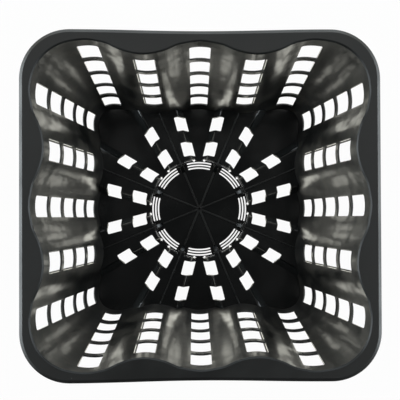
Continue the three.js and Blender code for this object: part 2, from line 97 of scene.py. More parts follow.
@dataclass(frozen=True)
class BasketSizes:
    """Sizes of the moulding in millimetres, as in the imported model.

    Only the ring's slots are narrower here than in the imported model, because their edges are rounded.
    """

    height: float = 180.0
    rim_half: tuple[float, float] = (140.8, 137.4)
    rim_bow: float = 1.5
    rim_thickness: float = 2.0
    rim_corner_radius: float = 39.0
    rim_lip: float = 2.0
    skirt_drop: float = 8.0
    skirt_thickness: float = 1.8
    wall: float = 1.6
    rim_overhang: float = 5.8
    floor_reach: float = 109.1
    wave_depth: float = 10.8
    shoulder_depth: float = 0.8
    shoulder_length: float = 20.0
    corner_offset: float = 91.0
    corner_ease: float = 0.5
    corner_ease_length: float = 32.0
    slot_width: float = 17.8
    slot_height: float = 27.2
    slot_bar: float = 3.8
    lobe_rows: int = 5
    wave_rows: int = 4
    first_slot_drop: float = 15.3
    wave_slot_drop: float = 2.2
    low_slot_rise: float = 2.3
    rib_width: float = 1.8
    rib_depth: float = 2.4
    rib_end: float = 3.0
    rib_bite: float = 0.4
    rib_fillet: float = 0.35
    floor: float = 2.0
    floor_step: float = 16.5
    step_wall: float = 1.5
    sectors: int = 8
    step_top: tuple[float, float] = (13.7, 5.8)
    step_foot: tuple[float, float] = (18.7, 7.8)
    drain_width: float = 12.5
    drain_length: float = 15.4
    drain_radii: tuple[float, float] = (64.1, 91.6)
    drain_slant: float = math.radians(3.2)
    drain_shift: float = -0.6
    ridge_width: float = 3.0
    ridge_height: float = 1.2
    tongue_width: float = 8.0
    tongue_length: float = 4.0
    ramp_width: float = 4.6
    ramp_height: float = 6.0
    disc_radius: float = 41.2
    ring_radius: float = 52.3
    grille_rows: int = 3
    grille_slot: float = 1.5
    grille_bar: float = 1.4
    grille_angle: float = 15.4
    disc_rib_width: float = 2.0
    disc_rib_height: float = 1.6
    seam: float = 0.3

    @property
    def raised_top(self) -> float:
        """Height of the raised floor's upper face."""
        return self.floor_step + self.floor

    @property
    def tongue_end(self) -> float:
        """Distance of a tongue's inner end from the axis."""
        return self.ring_radius + self.seam - self.tongue_length

    @property
    def foot_half_angle(self) -> float:
        """Half the angle that a foot or a raised sector spans."""
        return math.pi / (2 * self.sectors)

    @property
    def slot_pitch(self) -> float:
        """Distance from one slot to the next in a column."""
        return self.slot_height + self.slot_bar

    def slot_middle(self, row: int) -> float:
        """Height of the middle of a slot, counting rows from the rim."""
        return self.height - self.first_slot_drop - row * self.slot_pitch - self.slot_height / 2


SIZES = BasketSizes()


def normalised(vectors: np.ndarray) -> np.ndarray:
    """Vectors scaled to length one."""
    return vectors / np.maximum(np.linalg.norm(vectors, axis=-1, keepdims=True), TINY)


class WallSurface:
    """Middle surface of the wavy leaning wall, by distance round it and height.

    The distance starts at the middle of each side. A side runs to its corners' centres, and a
    corner takes CORNER_LENGTH of the distance, so that its slots keep their width. Slopes are taken
    over SLOPE_PROBE to either side, and an outline has OUTLINE_POINTS.
    """

    CORNER_LENGTH = 46.0
    SLOPE_PROBE = 0.1
    OUTLINE_POINTS = 2400

    def __init__(self, sizes: BasketSizes) -> None:
        """Keeps the sizes and works out how much distance a side and its corner take."""
        self.sizes = sizes
        self.turn = 2 * sizes.corner_offset + self.CORNER_LENGTH
        self.rib_half = sizes.slot_width / 2 + sizes.rib_width

    def reach(self, face: np.ndarray, z: np.ndarray) -> np.ndarray:
        """Distance from the basket's middle to the crest of a lobe, by side and height."""
        at_rim = np.where(face % 2 == 0, *self.sizes.rim_half) - self.sizes.rim_overhang
        return self.sizes.floor_reach + (at_rim - self.sizes.floor_reach) * z / self.sizes.height

    def ease(self, past: np.ndarray) -> np.ndarray:
        """How far the wall eases inward, past the middle of a corner's column of slots."""
        s = self.sizes
        share = np.clip((past + s.slot_width / 2) / s.corner_ease_length, 0, 1)
        return s.corner_ease * np.sin(math.pi * share) ** 2

    def inset(self, face: np.ndarray, along: np.ndarray, z: np.ndarray) -> np.ndarray:
        """How far the wall stands inward of a lobe's crest on a side."""
        s = self.sizes
        turn = math.pi * along / s.corner_offset
        reach = np.abs(along)
        beside = np.minimum(reach, np.abs(s.corner_offset - reach)) - s.slot_width / 2
        shoulder = s.shoulder_depth * np.sin(math.pi * np.clip(beside / s.shoulder_length, 0, 1)) ** 2
        bow = (face % 2) * s.rim_bow * z / s.height * np.cos(turn / 2) ** 2
        return s.wave_depth * np.sin(turn) ** 2 - shoulder + bow + self.ease(reach - s.corner_offset)

    def middle(self, u: np.ndarray, z: np.ndarray) -> tuple[np.ndarray, np.ndarray]:
        """Plan of the middle surface.

        Args:
            u: distance round the wall.
            z: height.

        Returns:
            Points and outward directions, both in plan.
        """
        s = self.sizes
        side = np.floor((u + s.corner_offset) / self.turn)
        along = u - side * self.turn
        on_side = along <= s.corner_offset
        face = side.astype(int) % 4
        out = np.stack([np.cos(face * math.pi / 2), np.sin(face * math.pi / 2)], -1)
        following = np.stack([-out[..., 1], out[..., 0]], -1)

        distance = self.reach(face, z) - self.inset(face, along, z)
        probe = self.SLOPE_PROBE
        slope = (self.inset(face, along + probe, z) - self.inset(face, along - probe, z)) / (2 * probe)
        flat = out * distance[..., None] + following * along[..., None]
        flat_normal = normalised(out + following * slope[..., None])

        first, last = self.reach(face, z) - s.corner_offset, self.reach(face + 1, z) - s.corner_offset
        reached = along - s.corner_offset
        left = self.CORNER_LENGTH - reached
        start = np.arcsin(np.clip(self.rib_half / last, 0, 1))
        end = np.arccos(np.clip(self.rib_half / first, 0, 1))
        share = (reached - self.rib_half) / (self.CORNER_LENGTH - 2 * self.rib_half)
        angle = start + (end - start) * share
        angle = np.where(reached < self.rib_half, np.arcsin(np.clip(reached / last, 0, 1)), angle)
        angle = np.where(left < self.rib_half, np.arccos(np.clip(left / first, 0, 1)), angle)
        cos, sin = np.cos(angle)[..., None], np.sin(angle)[..., None]
        first, last = first[..., None], last[..., None]
        bent = out * (s.corner_offset + first * cos) + following * (s.corner_offset + last * sin)
        bent_normal = normalised(out * last * cos + following * first * sin)
        bent = bent - bent_normal * self.ease(np.minimum(last * sin, first * cos)[..., 0])[..., None]
        chosen = on_side[..., None]
        return np.where(chosen, flat, bent), np.where(chosen, flat_normal, bent_normal)

    def place(self, flat: np.ndarray, offset: np.ndarray) -> np.ndarray:
        """Points in space of (distance, height) pairs, moved outward by an offset."""
        point, normal = self.middle(flat[..., 0], flat[..., 1])
        plan = point + normal * offset[..., None]
        return np.concatenate([plan, flat[..., 1:2]], -1)

    def polar_outline(self, z: float, offset: float) -> tuple[np.ndarray, np.ndarray]:
        """Outline of the wall at a height, as polar angles in rising order and radii."""
        u = np.linspace(-self.turn / 2, 3.5 * self.turn, self.OUTLINE_POINTS, endpoint=False)
        point = self.place(np.stack([u, np.full_like(u, z)], -1), np.full_like(u, offset))
        angle = np.arctan2(point[:, 1], point[:, 0])
        order = np.argsort(angle)
        return angle[order], np.hypot(point[:, 0], point[:, 1])[order]


@dataclass
class Chain:
    """A closed line round a sheet or a hole in it, with the sheet on its left."""

    points: np.ndarray
    rounding: np.ndarray

    @property
    def outward(self) -> np.ndarray:
        """Directions out of the material, in the sheet's plane."""
        ahead = normalised(np.roll(self.points, -1, 0) - self.points)
        behind = normalised(self.points - np.roll(self.points, 1, 0))
        tangent = normalised(ahead + behind)
        return np.stack([tangent[:, 1], -tangent[:, 0]], -1)


@dataclass(frozen=True)
class Corner:
    """A corner of an outline: where it is, its fillet, and the edge rounding after it."""

    x: float
    y: float
    fillet: float = 0.0
    rounding: float = SHEET_EDGE


NEARLY_STRAIGHT = math.radians(89)


def chain_of(corners: list[Corner], step: float, pieces: int = 4) -> Chain:
    """A closed line through filleted corners.

    A corner whose half angle is past NEARLY_STRAIGHT keeps no fillet.

    Args:
        corners: the corners, with the material on the left.
        step: longest distance between two points of a straight stretch.
        pieces: segments of a fillet.

    Returns:
        The line, with each point's edge rounding.
    """
    bends, points, rounding = [], [], []
    count = len(corners)
    for k, corner in enumerate(corners):
        here = np.array([corner.x, corner.y])
        before, after = corners[k - 1], corners[(k + 1) % count]
        back = normalised(np.array([before.x, before.y]) - here)
        on = normalised(np.array([after.x, after.y]) - here)
        half = math.acos(float(np.clip(back @ on, -1, 1))) / 2
        if corner.fillet <= 0 or half > NEARLY_STRAIGHT:
            bends.append([here])
            continue
        reach = corner.fillet / math.tan(half)
        centre = here + normalised(back + on) * corner.fillet / math.sin(half)
        first, last = here + back * reach - centre, here + on * reach - centre
        swing = math.atan2(first[0] * last[1] - first[1] * last[0], float(first @ last))
        turned = [swing * j / pieces for j in range(pieces + 1)]
        bends.append([centre + np.array([first[0] * math.cos(a) - first[1] * math.sin(a),
                                         first[0] * math.sin(a) + first[1] * math.cos(a)])
                      for a in turned])
    for k, bend in enumerate(bends):
        gap = bends[(k + 1) % count][0] - bend[-1]
        cuts = max(1, math.ceil(float(np.linalg.norm(gap)) / step))
        straight = [bend[-1] + gap * j / cuts for j in range(1, cuts)]
        points += [*bend, *straight]
        rounding += [corners[k].rounding] * (len(bend) + len(straight))
    return Chain(np.array(points), np.array(rounding))


def is_inside(points: np.ndarray, line: np.ndarray) -> np.ndarray:
    """True for each point inside a closed line, by counting crossings."""
    x, y = points[:, :1], points[:, 1:]
    x0, y0 = line[:, 0], line[:, 1]
    x1, y1 = np.roll(x0, -1), np.roll(y0, -1)
    spans = (y0 > y) != (y1 > y)
    with np.errstate(divide="ignore", invalid="ignore"):
        crossing = x0 + (y - y0) * (x1 - x0) / (y1 - y0)
    return (spans & (x < crossing)).sum(1) % 2 == 1


@dataclass
class MeshParts:
    """Vertices, faces and normals of a piece while it is put together."""

    points: list[np.ndarray] = field(default_factory=list)
    normals: list[np.ndarray] = field(default_factory=list)
    faces: list[list[int]] = field(default_factory=list)
    count: int = 0

    def add(self, points: np.ndarray, normals: np.ndarray, faces: list[list[int]]) -> None:
        """Adds a closed body."""
        self.points.append(points)
        self.normals.append(normals)
        self.faces += [[index + self.count for index in face] for face in faces]
        self.count += len(points)

    def build(self, name: str) -> bpy.types.Object:
        """Makes the object, in metres, with the given normals.

        Args:
            name: the object's name.

        Returns:
            The object, linked to the scene.
        """
        mesh = bpy.data.meshes.new(name)
        mesh.from_pydata((np.concatenate(self.points) * METRES).tolist(), [], self.faces)
        mesh.validate()
        mesh.polygons.foreach_set("use_smooth", [True] * len(mesh.polygons))
        mesh.normals_split_custom_set_from_vertices(np.concatenate(self.normals).tolist())
        piece = bpy.data.objects.new(name, mesh)
        bpy.context.scene.collection.objects.link(piece)
        return piece


@dataclass(frozen=True)
class Sheet:
    """A sheet of even thickness with holes and rounded edges, laid on a surface.

    Its face has a grid of points at the given spacing, and more points where seeds are given. Grid
    points keep clear of edges by GRID_CLEAR of the spacing and of seeds by SEED_CLEAR's first value,
    and seeds keep clear of edges by its second. Each edge is rounded in rows, tilted as EDGE_TILTS
    says for the near and the far face. Directions are taken over PROBE, and distances are worked out
    for BATCH points at a time. Points nearer than SAME_POINT are one, and the triangles are made over
    the WHOLE_HULL before those outside the sheet go.
    """

    outline: Chain
    holes: list[Chain]
    thickness: float
    spacing: float
    seeds: np.ndarray | None = None

    EDGE_TILTS = ((-1, (-45, 0)), (1, (0, 45)))
    PROBE = 0.05
    GRID_CLEAR = 0.55
    SEED_CLEAR = (1.2, 0.3)
    BATCH = 400
    WHOLE_HULL = 0
    SAME_POINT = 1e-6

    def flat_mesh(self) -> tuple[np.ndarray, list[list[int]], list[np.ndarray]]:
        """Triangles of the sheet's face, inside the rounding of its edges.

        Returns:
            Points, triangles, and each edge line's numbers among the points.
        """
        chains = [self.outline, *self.holes]
        loops = [c.points - c.outward * c.rounding[:, None] for c in chains]
        low, high = loops[0].min(0), loops[0].max(0)
        across = np.arange(low[0] + self.spacing / 2, high[0], self.spacing)
        up = np.arange(low[1] + self.spacing / 2, high[1], self.spacing)
        grid = np.stack(np.meshgrid(across, up), -1).reshape(-1, 2)
        edge = np.concatenate(loops)
        far = np.concatenate([np.min(np.linalg.norm(part[:, None] - edge[None], axis=2), 1)
                              for part in np.array_split(grid, max(1, len(grid) // self.BATCH))])
        grid = grid[far > self.GRID_CLEAR * self.spacing]
        if self.seeds is not None:
            gap = np.linalg.norm(grid[:, None] - self.seeds[None], axis=2).min(1)
            near = np.linalg.norm(self.seeds[:, None] - edge[None], axis=2).min(1)
            from_seed, from_edge = self.SEED_CLEAR
            grid = np.concatenate([grid[gap > from_seed], self.seeds[near > from_edge]])
        inside = is_inside(grid, loops[0])
        for hole in loops[1:]:
            inside &= ~is_inside(grid, hole)
        given = np.concatenate([edge, grid[inside]])
        edges, first = [], 0
        for loop in loops:
            numbers = range(first, first + len(loop))
            edges += [(n, first + (n + 1 - first) % len(loop)) for n in numbers]
            first += len(loop)
        found, _edges, triangles, origins, _e, _f = delaunay_2d_cdt(
            given.tolist(), edges, [], self.WHOLE_HULL, self.SAME_POINT)
        points = np.array([tuple(p) for p in found])
        triangles = np.array([tuple(t) for t in triangles])
        middle = points[triangles].mean(1)
        kept = is_inside(middle, loops[0])
        for hole in loops[1:]:
            kept &= ~is_inside(middle, hole)
        place_of = {origin: k for k, several in enumerate(origins) for origin in several}
        numbers, first = [], 0
        for loop in loops:
            numbers.append(np.array([place_of[n] for n in range(first, first + len(loop))]))
            first += len(loop)
        return points, triangles[kept].tolist(), numbers

    def lay(self, parts: MeshParts, place: Place) -> None:
        """Adds the sheet to a piece.

        Args:
            parts: the piece that is being put together.
            place: gives points in space from flat points and offsets from the middle.
        """
        half = self.thickness / 2
        flat, triangles, loops = self.flat_mesh()
        near = place(flat, np.full(len(flat), -half))
        far = place(flat, np.full(len(flat), half))
        normal = self.normal_at(place, flat)
        points, normals = [near, far], [-normal, normal]
        faces = [[a, c, b] for a, b, c in triangles]
        faces += [[a + len(flat), b + len(flat), c + len(flat)] for a, b, c in triangles]
        count = 2 * len(flat)
        for chain, loop in zip([self.outline, *self.holes], loops):
            outward, rounding = chain.outward, chain.rounding
            edge_normal = self.normal_at(place, chain.points)
            middle = np.zeros(len(chain.points))
            sideways = normalised(place(chain.points + outward * self.PROBE, middle)
                                  - place(chain.points, middle))
            rows = [loop]
            for sign, tilts in self.EDGE_TILTS:
                for degrees in tilts:
                    tilt = math.radians(degrees)
                    inset = rounding * (1 - math.cos(tilt))
                    offset = sign * (half - rounding) + rounding * math.sin(tilt)
                    points.append(place(chain.points - outward * inset[:, None], offset))
                    normals.append(sideways * math.cos(tilt) + edge_normal * math.sin(tilt))
                    rows.append(np.arange(count, count + len(loop)))
                    count += len(loop)
            rows.append(loop + len(flat))
            for row, above in zip(rows, rows[1:]):
                faces += [[int(row[k]), int(row[(k + 1) % len(row)]), int(above[(k + 1) % len(row)]),
                           int(above[k])] for k in range(len(row))]
        parts.add(np.concatenate(points), normalised(np.concatenate(normals)), faces)

    @staticmethod
    def normal_at(place: Place, flat: np.ndarray) -> np.ndarray:
        """Normals of the surface that a sheet is laid on."""
        small, middle = Sheet.PROBE, np.zeros(len(flat))
        right = place(flat + [small, 0], middle) - place(flat - [small, 0], middle)
        up = place(flat + [0, small], middle) - place(flat - [0, small], middle)
        return normalised(np.cross(right, up))


def level(height: float) -> Place:
    """Places a sheet flat, with its middle at a height."""
    def place(flat: np.ndarray, offset: np.ndarray) -> np.ndarray:
        """Points on the level plane."""
        return np.concatenate([flat, (height + offset)[:, None]], 1)
    return place


def upright(direction: float) -> Place:
    """Places a sheet on a vertical plane through the basket's axis, along a direction."""
    ahead = np.array([math.cos(direction), math.sin(direction)])
    right = np.array([ahead[1], -ahead[0]])

    def place(flat: np.ndarray, offset: np.ndarray) -> np.ndarray:
        """Points on the vertical plane."""
        plan = flat[:, :1] * ahead + offset[:, None] * right
        return np.concatenate([plan, flat[:, 1:]], 1)
    return place


def round_axis(radius: float) -> Place:
    """Places a sheet on an upright cylinder about the basket's axis."""
    def place(flat: np.ndarray, offset: np.ndarray) -> np.ndarray:
        """Points on the cylinder, by arc length and height."""
        angle, far = flat[:, 0] / radius, radius + offset
        return np.stack([far * np.cos(angle), far * np.sin(angle), flat[:, 1]], -1)
    return place


def arc(radius: float, start: float, end: float, step: float) -> np.ndarray:
    """Points along an arc about the origin, both ends included."""
    pieces = max(2, math.ceil(abs(end - start) * radius / step))
    angle = np.linspace(start, end, pieces + 1)
    return radius * np.stack([np.cos(angle), np.sin(angle)], -1)


def linear(hex_colour: str) -> tuple[float, float, float, float]:
    """Linear colour of an sRGB hex value, opaque."""
    values = [int(hex_colour[k:k + 2], 16) / 255 for k in (1, 3, 5)]
    return (*[v / 12.92 if v <= 0.04045 else ((v + 0.055) / 1.055) ** 2.4 for v in values], 1.0)


def add_node(tree: bpy.types.NodeTree, kind: str, settings: dict[str, object] | None = None,
             values: dict[str | int, object] | None = None) -> bpy.types.Node:
    """Adds a node with its settings, and its inputs' values or links.

    Args:
        tree: the node tree.
        kind: the node's type.
        settings: properties of the node.
        values: inputs by name or number; a socket is linked, anything else is set.

    Returns:
        The node.
    """
    node = tree.nodes.new(kind)
    for name, value in (settings or {}).items():
        setattr(node, name, value)
    for name, value in (values or {}).items():
        if isinstance(value, bpy.types.NodeSocket):
            tree.links.new(value, node.inputs[name])
        else:
            node.inputs[name].default_value = value
    return node


@dataclass(frozen=True)
class BlackPolypropylene:
    """Black polypropylene, injection moulded: a near-black body under a waxy, hazy gloss.

    Sizes are millimetres. The haze mixes the dark and the light colour and the two roughnesses.
    The wave is the slow unevenness of a moulded face, and the grain its fine texture. The film is
    dried lime from pond water, the specks are dust, and the coat is the skin of the plastic. Steep
    is how much rougher upright faces are than level ones; where it is set, upright faces are also
    painted the paler steep colour, painted light that lifts their shade. The fades are the ranges
    of a pattern over which each of these sets in.
    """

    HAZE_COLOUR_FADE = (0.35, 0.7)
    HAZE_GLOSS_FADE = (0.3, 0.7)
    STEEP_DULL_FADE = (0.04, 0.12)
    STEEP_PAINTED_LIGHT_FADE = (0.35, 0.55)
    STEEP_PAINTED_LIGHT_COLOUR = "#2e3030"
    FILM_SIZE = 20.0
    FILM_FADE = (0.47, 0.64)
    FILM_COLOUR = "#8b8579"
    SPECK_CELL = 9.0
    SPECK_FADE = (0.03, 0.07)
    SPECK_FULL = 0.6
    SPECK_COLOUR = "#8d908f"

    name: str
    dark: str = "#141616"
    light: str = "#1b1d1d"
    roughness: tuple[float, float] = (0.22, 0.42)
    haze_size: float = 22.0
    grain_size: float = 0.6
    grain_height: float = 0.004
    wave_size: float = 18.0
    wave_height: float = 0.05
    speck: float = 0.0
    film: float = 0.0
    coat: float = 0.0
    coat_roughness: float = 0.16
    steep: float = 0.0
    specular: float = 0.5

    def build(self) -> bpy.types.Material:
        """Makes the material.

        Returns:
            The material, with its pattern in object coordinates.
        """
        material = bpy.data.materials.new(self.name)
        material.use_nodes = True
        tree = material.node_tree
        tree.nodes.clear()
        spot = add_node(tree, "ShaderNodeTexCoord").outputs["Object"]

        def noise(size: float, detail: float, rough: float = 0.5) -> bpy.types.NodeSocket:
            """A noise whose lumps are about the given size in millimetres."""
            return add_node(tree, "ShaderNodeTexNoise", None, {
                "Vector": spot, "Scale": 1 / (size * METRES), "Detail": detail,
                "Roughness": rough}).outputs["Fac"]

        def faded(value: bpy.types.NodeSocket, fade: tuple[float, float], low: float,
                  high: float) -> bpy.types.NodeSocket:
            """A value that goes smoothly from low to high over the fade's range."""
            return add_node(tree, "ShaderNodeMapRange", {"interpolation_type": "SMOOTHSTEP"}, {
                "Value": value, "From Min": fade[0], "From Max": fade[1], "To Min": low,
                "To Max": high}).outputs["Result"]

        def blended(share: bpy.types.NodeSocket, first: object, last: object) -> bpy.types.NodeSocket:
            """A colour between two others."""
            return add_node(tree, "ShaderNodeMix", {"data_type": "RGBA"}, {
                0: share, 6: first, 7: last}).outputs[2]

        haze = noise(self.haze_size, 2.0, 0.5)
        colour = blended(faded(haze, self.HAZE_COLOUR_FADE, 0.0, 1.0), linear(self.dark), linear(self.light))
        roughness = faded(haze, self.HAZE_GLOSS_FADE, *self.roughness)
        if self.steep > 0:
            facing = add_node(tree, "ShaderNodeSeparateXYZ", None, {
                0: add_node(tree, "ShaderNodeTexCoord").outputs["Normal"]})
            rise = add_node(tree, "ShaderNodeMath", {"operation": "ABSOLUTE"}, {
                0: facing.outputs["Z"]}).outputs[0]
            roughness = add_node(tree, "ShaderNodeMath", {"operation": "ADD", "use_clamp": True}, {
                0: roughness, 1: faded(rise, self.STEEP_DULL_FADE, self.steep, 0.0)}).outputs[0]
            # Upright faces are painted the paler steep colour: painted light that lifts faces which render
            # too dark.
            pale = faded(rise, self.STEEP_PAINTED_LIGHT_FADE, 1.0, 0.0)
            colour = blended(pale, colour, linear(self.STEEP_PAINTED_LIGHT_COLOUR))
        if self.film > 0:
            dried = faded(noise(self.FILM_SIZE, 3.0, 0.6), self.FILM_FADE, 0.0, self.film)
            colour = blended(dried, colour, linear(self.FILM_COLOUR))
        if self.speck > 0:
            cells = add_node(tree, "ShaderNodeTexVoronoi", {"feature": "F1"}, {
                "Vector": spot, "Scale": 1 / (self.SPECK_CELL * METRES), "Randomness": 1.0})
            near = faded(cells.outputs["Distance"], self.SPECK_FADE, 1.0, 0.0)
            draw = add_node(tree, "ShaderNodeSeparateColor", None, {"Color": cells.outputs["Color"]})
            rare = (1 - self.speck, 1 - self.SPECK_FULL * self.speck)
            some = faded(draw.outputs["Red"], rare, 0.0, 1.0)
            dust = add_node(tree, "ShaderNodeMath", {"operation": "MULTIPLY"}, {0: near, 1: some}).outputs[0]
            colour = blended(dust, colour, linear(self.SPECK_COLOUR))
        wave = add_node(tree, "ShaderNodeBump", None, {
            "Height": noise(self.wave_size, 1.0), "Distance": self.wave_height * METRES, "Strength": 1.0})
        grain = add_node(tree, "ShaderNodeBump", None, {
            "Height": noise(self.grain_size, 2.0), "Distance": self.grain_height * METRES, "Strength": 1.0,
            "Normal": wave.outputs["Normal"]})
        shader = add_node(tree, "ShaderNodeBsdfPrincipled", None, {
            "Base Color": colour, "Roughness": roughness, "IOR": 1.5,
            "Specular IOR Level": self.specular, "Normal": grain.outputs["Normal"],
            "Coat Weight": self.coat, "Coat Roughness": self.coat_roughness,
            "Coat Normal": wave.outputs["Normal"]})
        add_node(tree, "ShaderNodeOutputMaterial", None, {"Surface": shader.outputs[0]})
        return material


@dataclass(frozen=True)
class Finishes:
    """The finishes of the one moulding, as its mould's faces gave them."""

    rim: bpy.types.Material
    wall: bpy.types.Material
    floor: bpy.types.Material
    outer_rib: bpy.types.Material
    rib: bpy.types.Material

    @classmethod
    def make(cls) -> "Finishes":
        """Builds the finishes."""
        return cls(
            # Fine spark-eroded grain on the flange: an even satin sheen with a little dust.
            rim=BlackPolypropylene("polypropylene_satin_flange", roughness=(0.38, 0.5), haze_size=30.0,
                                   wave_height=0.0, speck=0.12).build(),
            # Polished mould faces: a glossy skin, slightly wavy, over haze and a thin film of lime.
            wall=BlackPolypropylene("polypropylene_gloss_wall", roughness=(0.29, 0.44), haze_size=20.0,
                                    wave_height=0.6, grain_height=0.0, film=0.12, coat=0.45).build(),
            # Floor of the mould: even gloss with a faint haze, and duller on its steep faces. Its body is
            # painted darker than the wall's, as painted shade at the bottom of the basket, and its steep
            # faces are painted paler, as painted light.
            floor=BlackPolypropylene("polypropylene_gloss_floor", dark="#0d0f0f", light="#111313",
                                     roughness=(0.14, 0.22), haze_size=35.0, wave_height=0.01,
                                     grain_height=0.001, steep=0.5).build(),
            # Outer ribs, cut into the mould by spark and left matt.
            outer_rib=BlackPolypropylene("polypropylene_matt_rib", roughness=(0.5, 0.6), haze_size=30.0,
                                         wave_height=0.0, specular=0.15).build(),
            # Ribs and ridges of the floor, cut by spark and eased to satin.
            rib=BlackPolypropylene("polypropylene_satin_rib", roughness=(0.25, 0.33), haze_size=30.0,
                                   wave_height=0.0).build(),
        )


def finish(piece: bpy.types.Object, material: bpy.types.Material, slot: Slot,
           nodes: list[str]) -> None:
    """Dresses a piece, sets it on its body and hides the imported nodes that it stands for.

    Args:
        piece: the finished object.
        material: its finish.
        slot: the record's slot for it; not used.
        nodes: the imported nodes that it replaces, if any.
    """
    piece.data.materials.clear()
    piece.data.materials.append(material)
    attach(piece, "root")
    if nodes:
        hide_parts(*nodes)
    LOG.info("%s: %d faces", piece.name, len(piece.data.polygons))


class RibSweep:
    """Geometry Nodes tree that runs a rounded bar along paths and repeats it about the axis."""

    def __init__(self) -> None:
        """Builds the tree with its named inputs."""
        tree = bpy.data.node_groups.new("rib_sweep", "GeometryNodeTree")
        self.tree = tree
        self.inputs = {}
        wanted = [("Paths", "NodeSocketGeometry", None), ("Width", "NodeSocketFloat", 0.002),
                  ("Depth", "NodeSocketFloat", 0.002), ("Fillet", "NodeSocketFloat", 0.0004),
                  ("Repeats", "NodeSocketInt", 1), ("Finish", "NodeSocketMaterial", None)]
        for name, kind, value in wanted:
            socket = tree.interface.new_socket(name, in_out="INPUT", socket_type=kind)
            if value is not None:
                socket.default_value = value
            self.inputs[name] = socket.identifier
        tree.interface.new_socket("Ribs", in_out="OUTPUT", socket_type="NodeSocketGeometry")
        given = add_node(tree, "NodeGroupInput").outputs
        outward = add_node(tree, "GeometryNodeInputNamedAttribute", {"data_type": "FLOAT_VECTOR"},
                           {"Name": "outward"}).outputs["Attribute"]
        scale = add_node(tree, "GeometryNodeInputNamedAttribute", {"data_type": "FLOAT"},
                         {"Name": "scale"}).outputs["Attribute"]
        curve = add_node(tree, "GeometryNodeMeshToCurve", None, {"Mesh": given["Paths"]})
        turned = add_node(tree, "GeometryNodeSetCurveNormal", {"mode": "FREE"},
                          {"Curve": curve.outputs[0], "Normal": outward})
        profile = add_node(tree, "GeometryNodeCurvePrimitiveQuadrilateral", None,
                           {"Width": given["Width"], "Height": given["Depth"]})
        eased = add_node(tree, "GeometryNodeFilletCurve", {"mode": "POLY"},
                         {"Curve": profile.outputs[0], "Radius": given["Fillet"], "Count": 3})
        bar = add_node(tree, "GeometryNodeCurveToMesh", None, {
            "Curve": turned.outputs[0], "Profile Curve": eased.outputs[0], "Scale": scale,
            "Fill Caps": True})
        spots = add_node(tree, "GeometryNodePoints", None, {"Count": given["Repeats"]})
        share = add_node(tree, "ShaderNodeMath", {"operation": "DIVIDE"}, {
            0: 2 * math.pi, 1: given["Repeats"]})
        angle = add_node(tree, "ShaderNodeMath", {"operation": "MULTIPLY"}, {
            0: add_node(tree, "GeometryNodeInputIndex").outputs[0], 1: share.outputs[0]})
        spin = add_node(tree, "FunctionNodeAxisAngleToRotation", None,
                        {"Axis": (0.0, 0.0, 1.0), "Angle": angle.outputs[0]})
        copies = add_node(tree, "GeometryNodeInstanceOnPoints", None, {
            "Points": spots.outputs[0], "Instance": bar.outputs[0], "Rotation": spin.outputs[0]})
        real = add_node(tree, "GeometryNodeRealizeInstances", None, {"Geometry": copies.outputs[0]})
        dressed = add_node(tree, "GeometryNodeSetMaterial", None,
                           {"Geometry": real.outputs[0], "Material": given["Finish"]})
        add_node(tree, "NodeGroupOutput", None, {0: dressed.outputs[0]})

    def run(self, name: str, paths: list[tuple[np.ndarray, np.ndarray, np.ndarray]], width: float,
            depth: float, fillet: float, repeats: int, material: bpy.types.Material) -> bpy.types.Object:
        """Makes the ribs as one plain mesh.

        Args:
            name: the object's name.
            paths: for each rib, its points, its outward directions and its scale at each point.
            width: width of the bar across its outward direction.
            depth: depth of the bar along its outward direction.
            fillet: rounding of the bar's edges.
            repeats: how many times the ribs are repeated about the basket's axis.
            material: the ribs' finish.

        Returns:
            The ribs, linked to the scene.
        """
        mesh = bpy.data.meshes.new(name + "_paths")
        points = np.concatenate([p for p, _o, _s in paths]) * METRES
        edges, first = [], 0
        for path, _o, _s in paths:
            edges += [(first + k, first + k + 1) for k in range(len(path) - 1)]
            first += len(path)
        mesh.from_pydata(points.tolist(), edges, [])
        outward = mesh.attributes.new("outward", "FLOAT_VECTOR", "POINT")
        outward.data.foreach_set("vector", np.concatenate([o for _p, o, _s in paths]).ravel())
        scale = mesh.attributes.new("scale", "FLOAT", "POINT")
        scale.data.foreach_set("value", np.concatenate([s for _p, _o, s in paths]))
        guide = bpy.data.objects.new(name + "_paths", mesh)
        bpy.context.scene.collection.objects.link(guide)
        modifier = guide.modifiers.new("sweep", "NODES")
        modifier.node_group = self.tree
        given = {"Width": width * METRES, "Depth": depth * METRES, "Fillet": fillet * METRES,
                 "Repeats": repeats, "Finish": material}
        for key, value in given.items():
            modifier[self.inputs[key]] = value
        bpy.context.view_layer.update()
        seen = guide.evaluated_get(bpy.context.evaluated_depsgraph_get())
        made = bpy.data.meshes.new_from_object(seen)
        made.name = name
        bpy.data.objects.remove(guide)
        bpy.data.meshes.remove(mesh)
        ribs = bpy.data.objects.new(name, made)
        bpy.context.scene.collection.objects.link(ribs)
        return ribs


@dataclass(frozen=True)
class Column:
    """A column of slots: its middle, its rows, its drop, and how far its fourth slot's sill rises."""

    middle: float
    rows: int
    drop: float = 0.0
    rise: float = 0.0


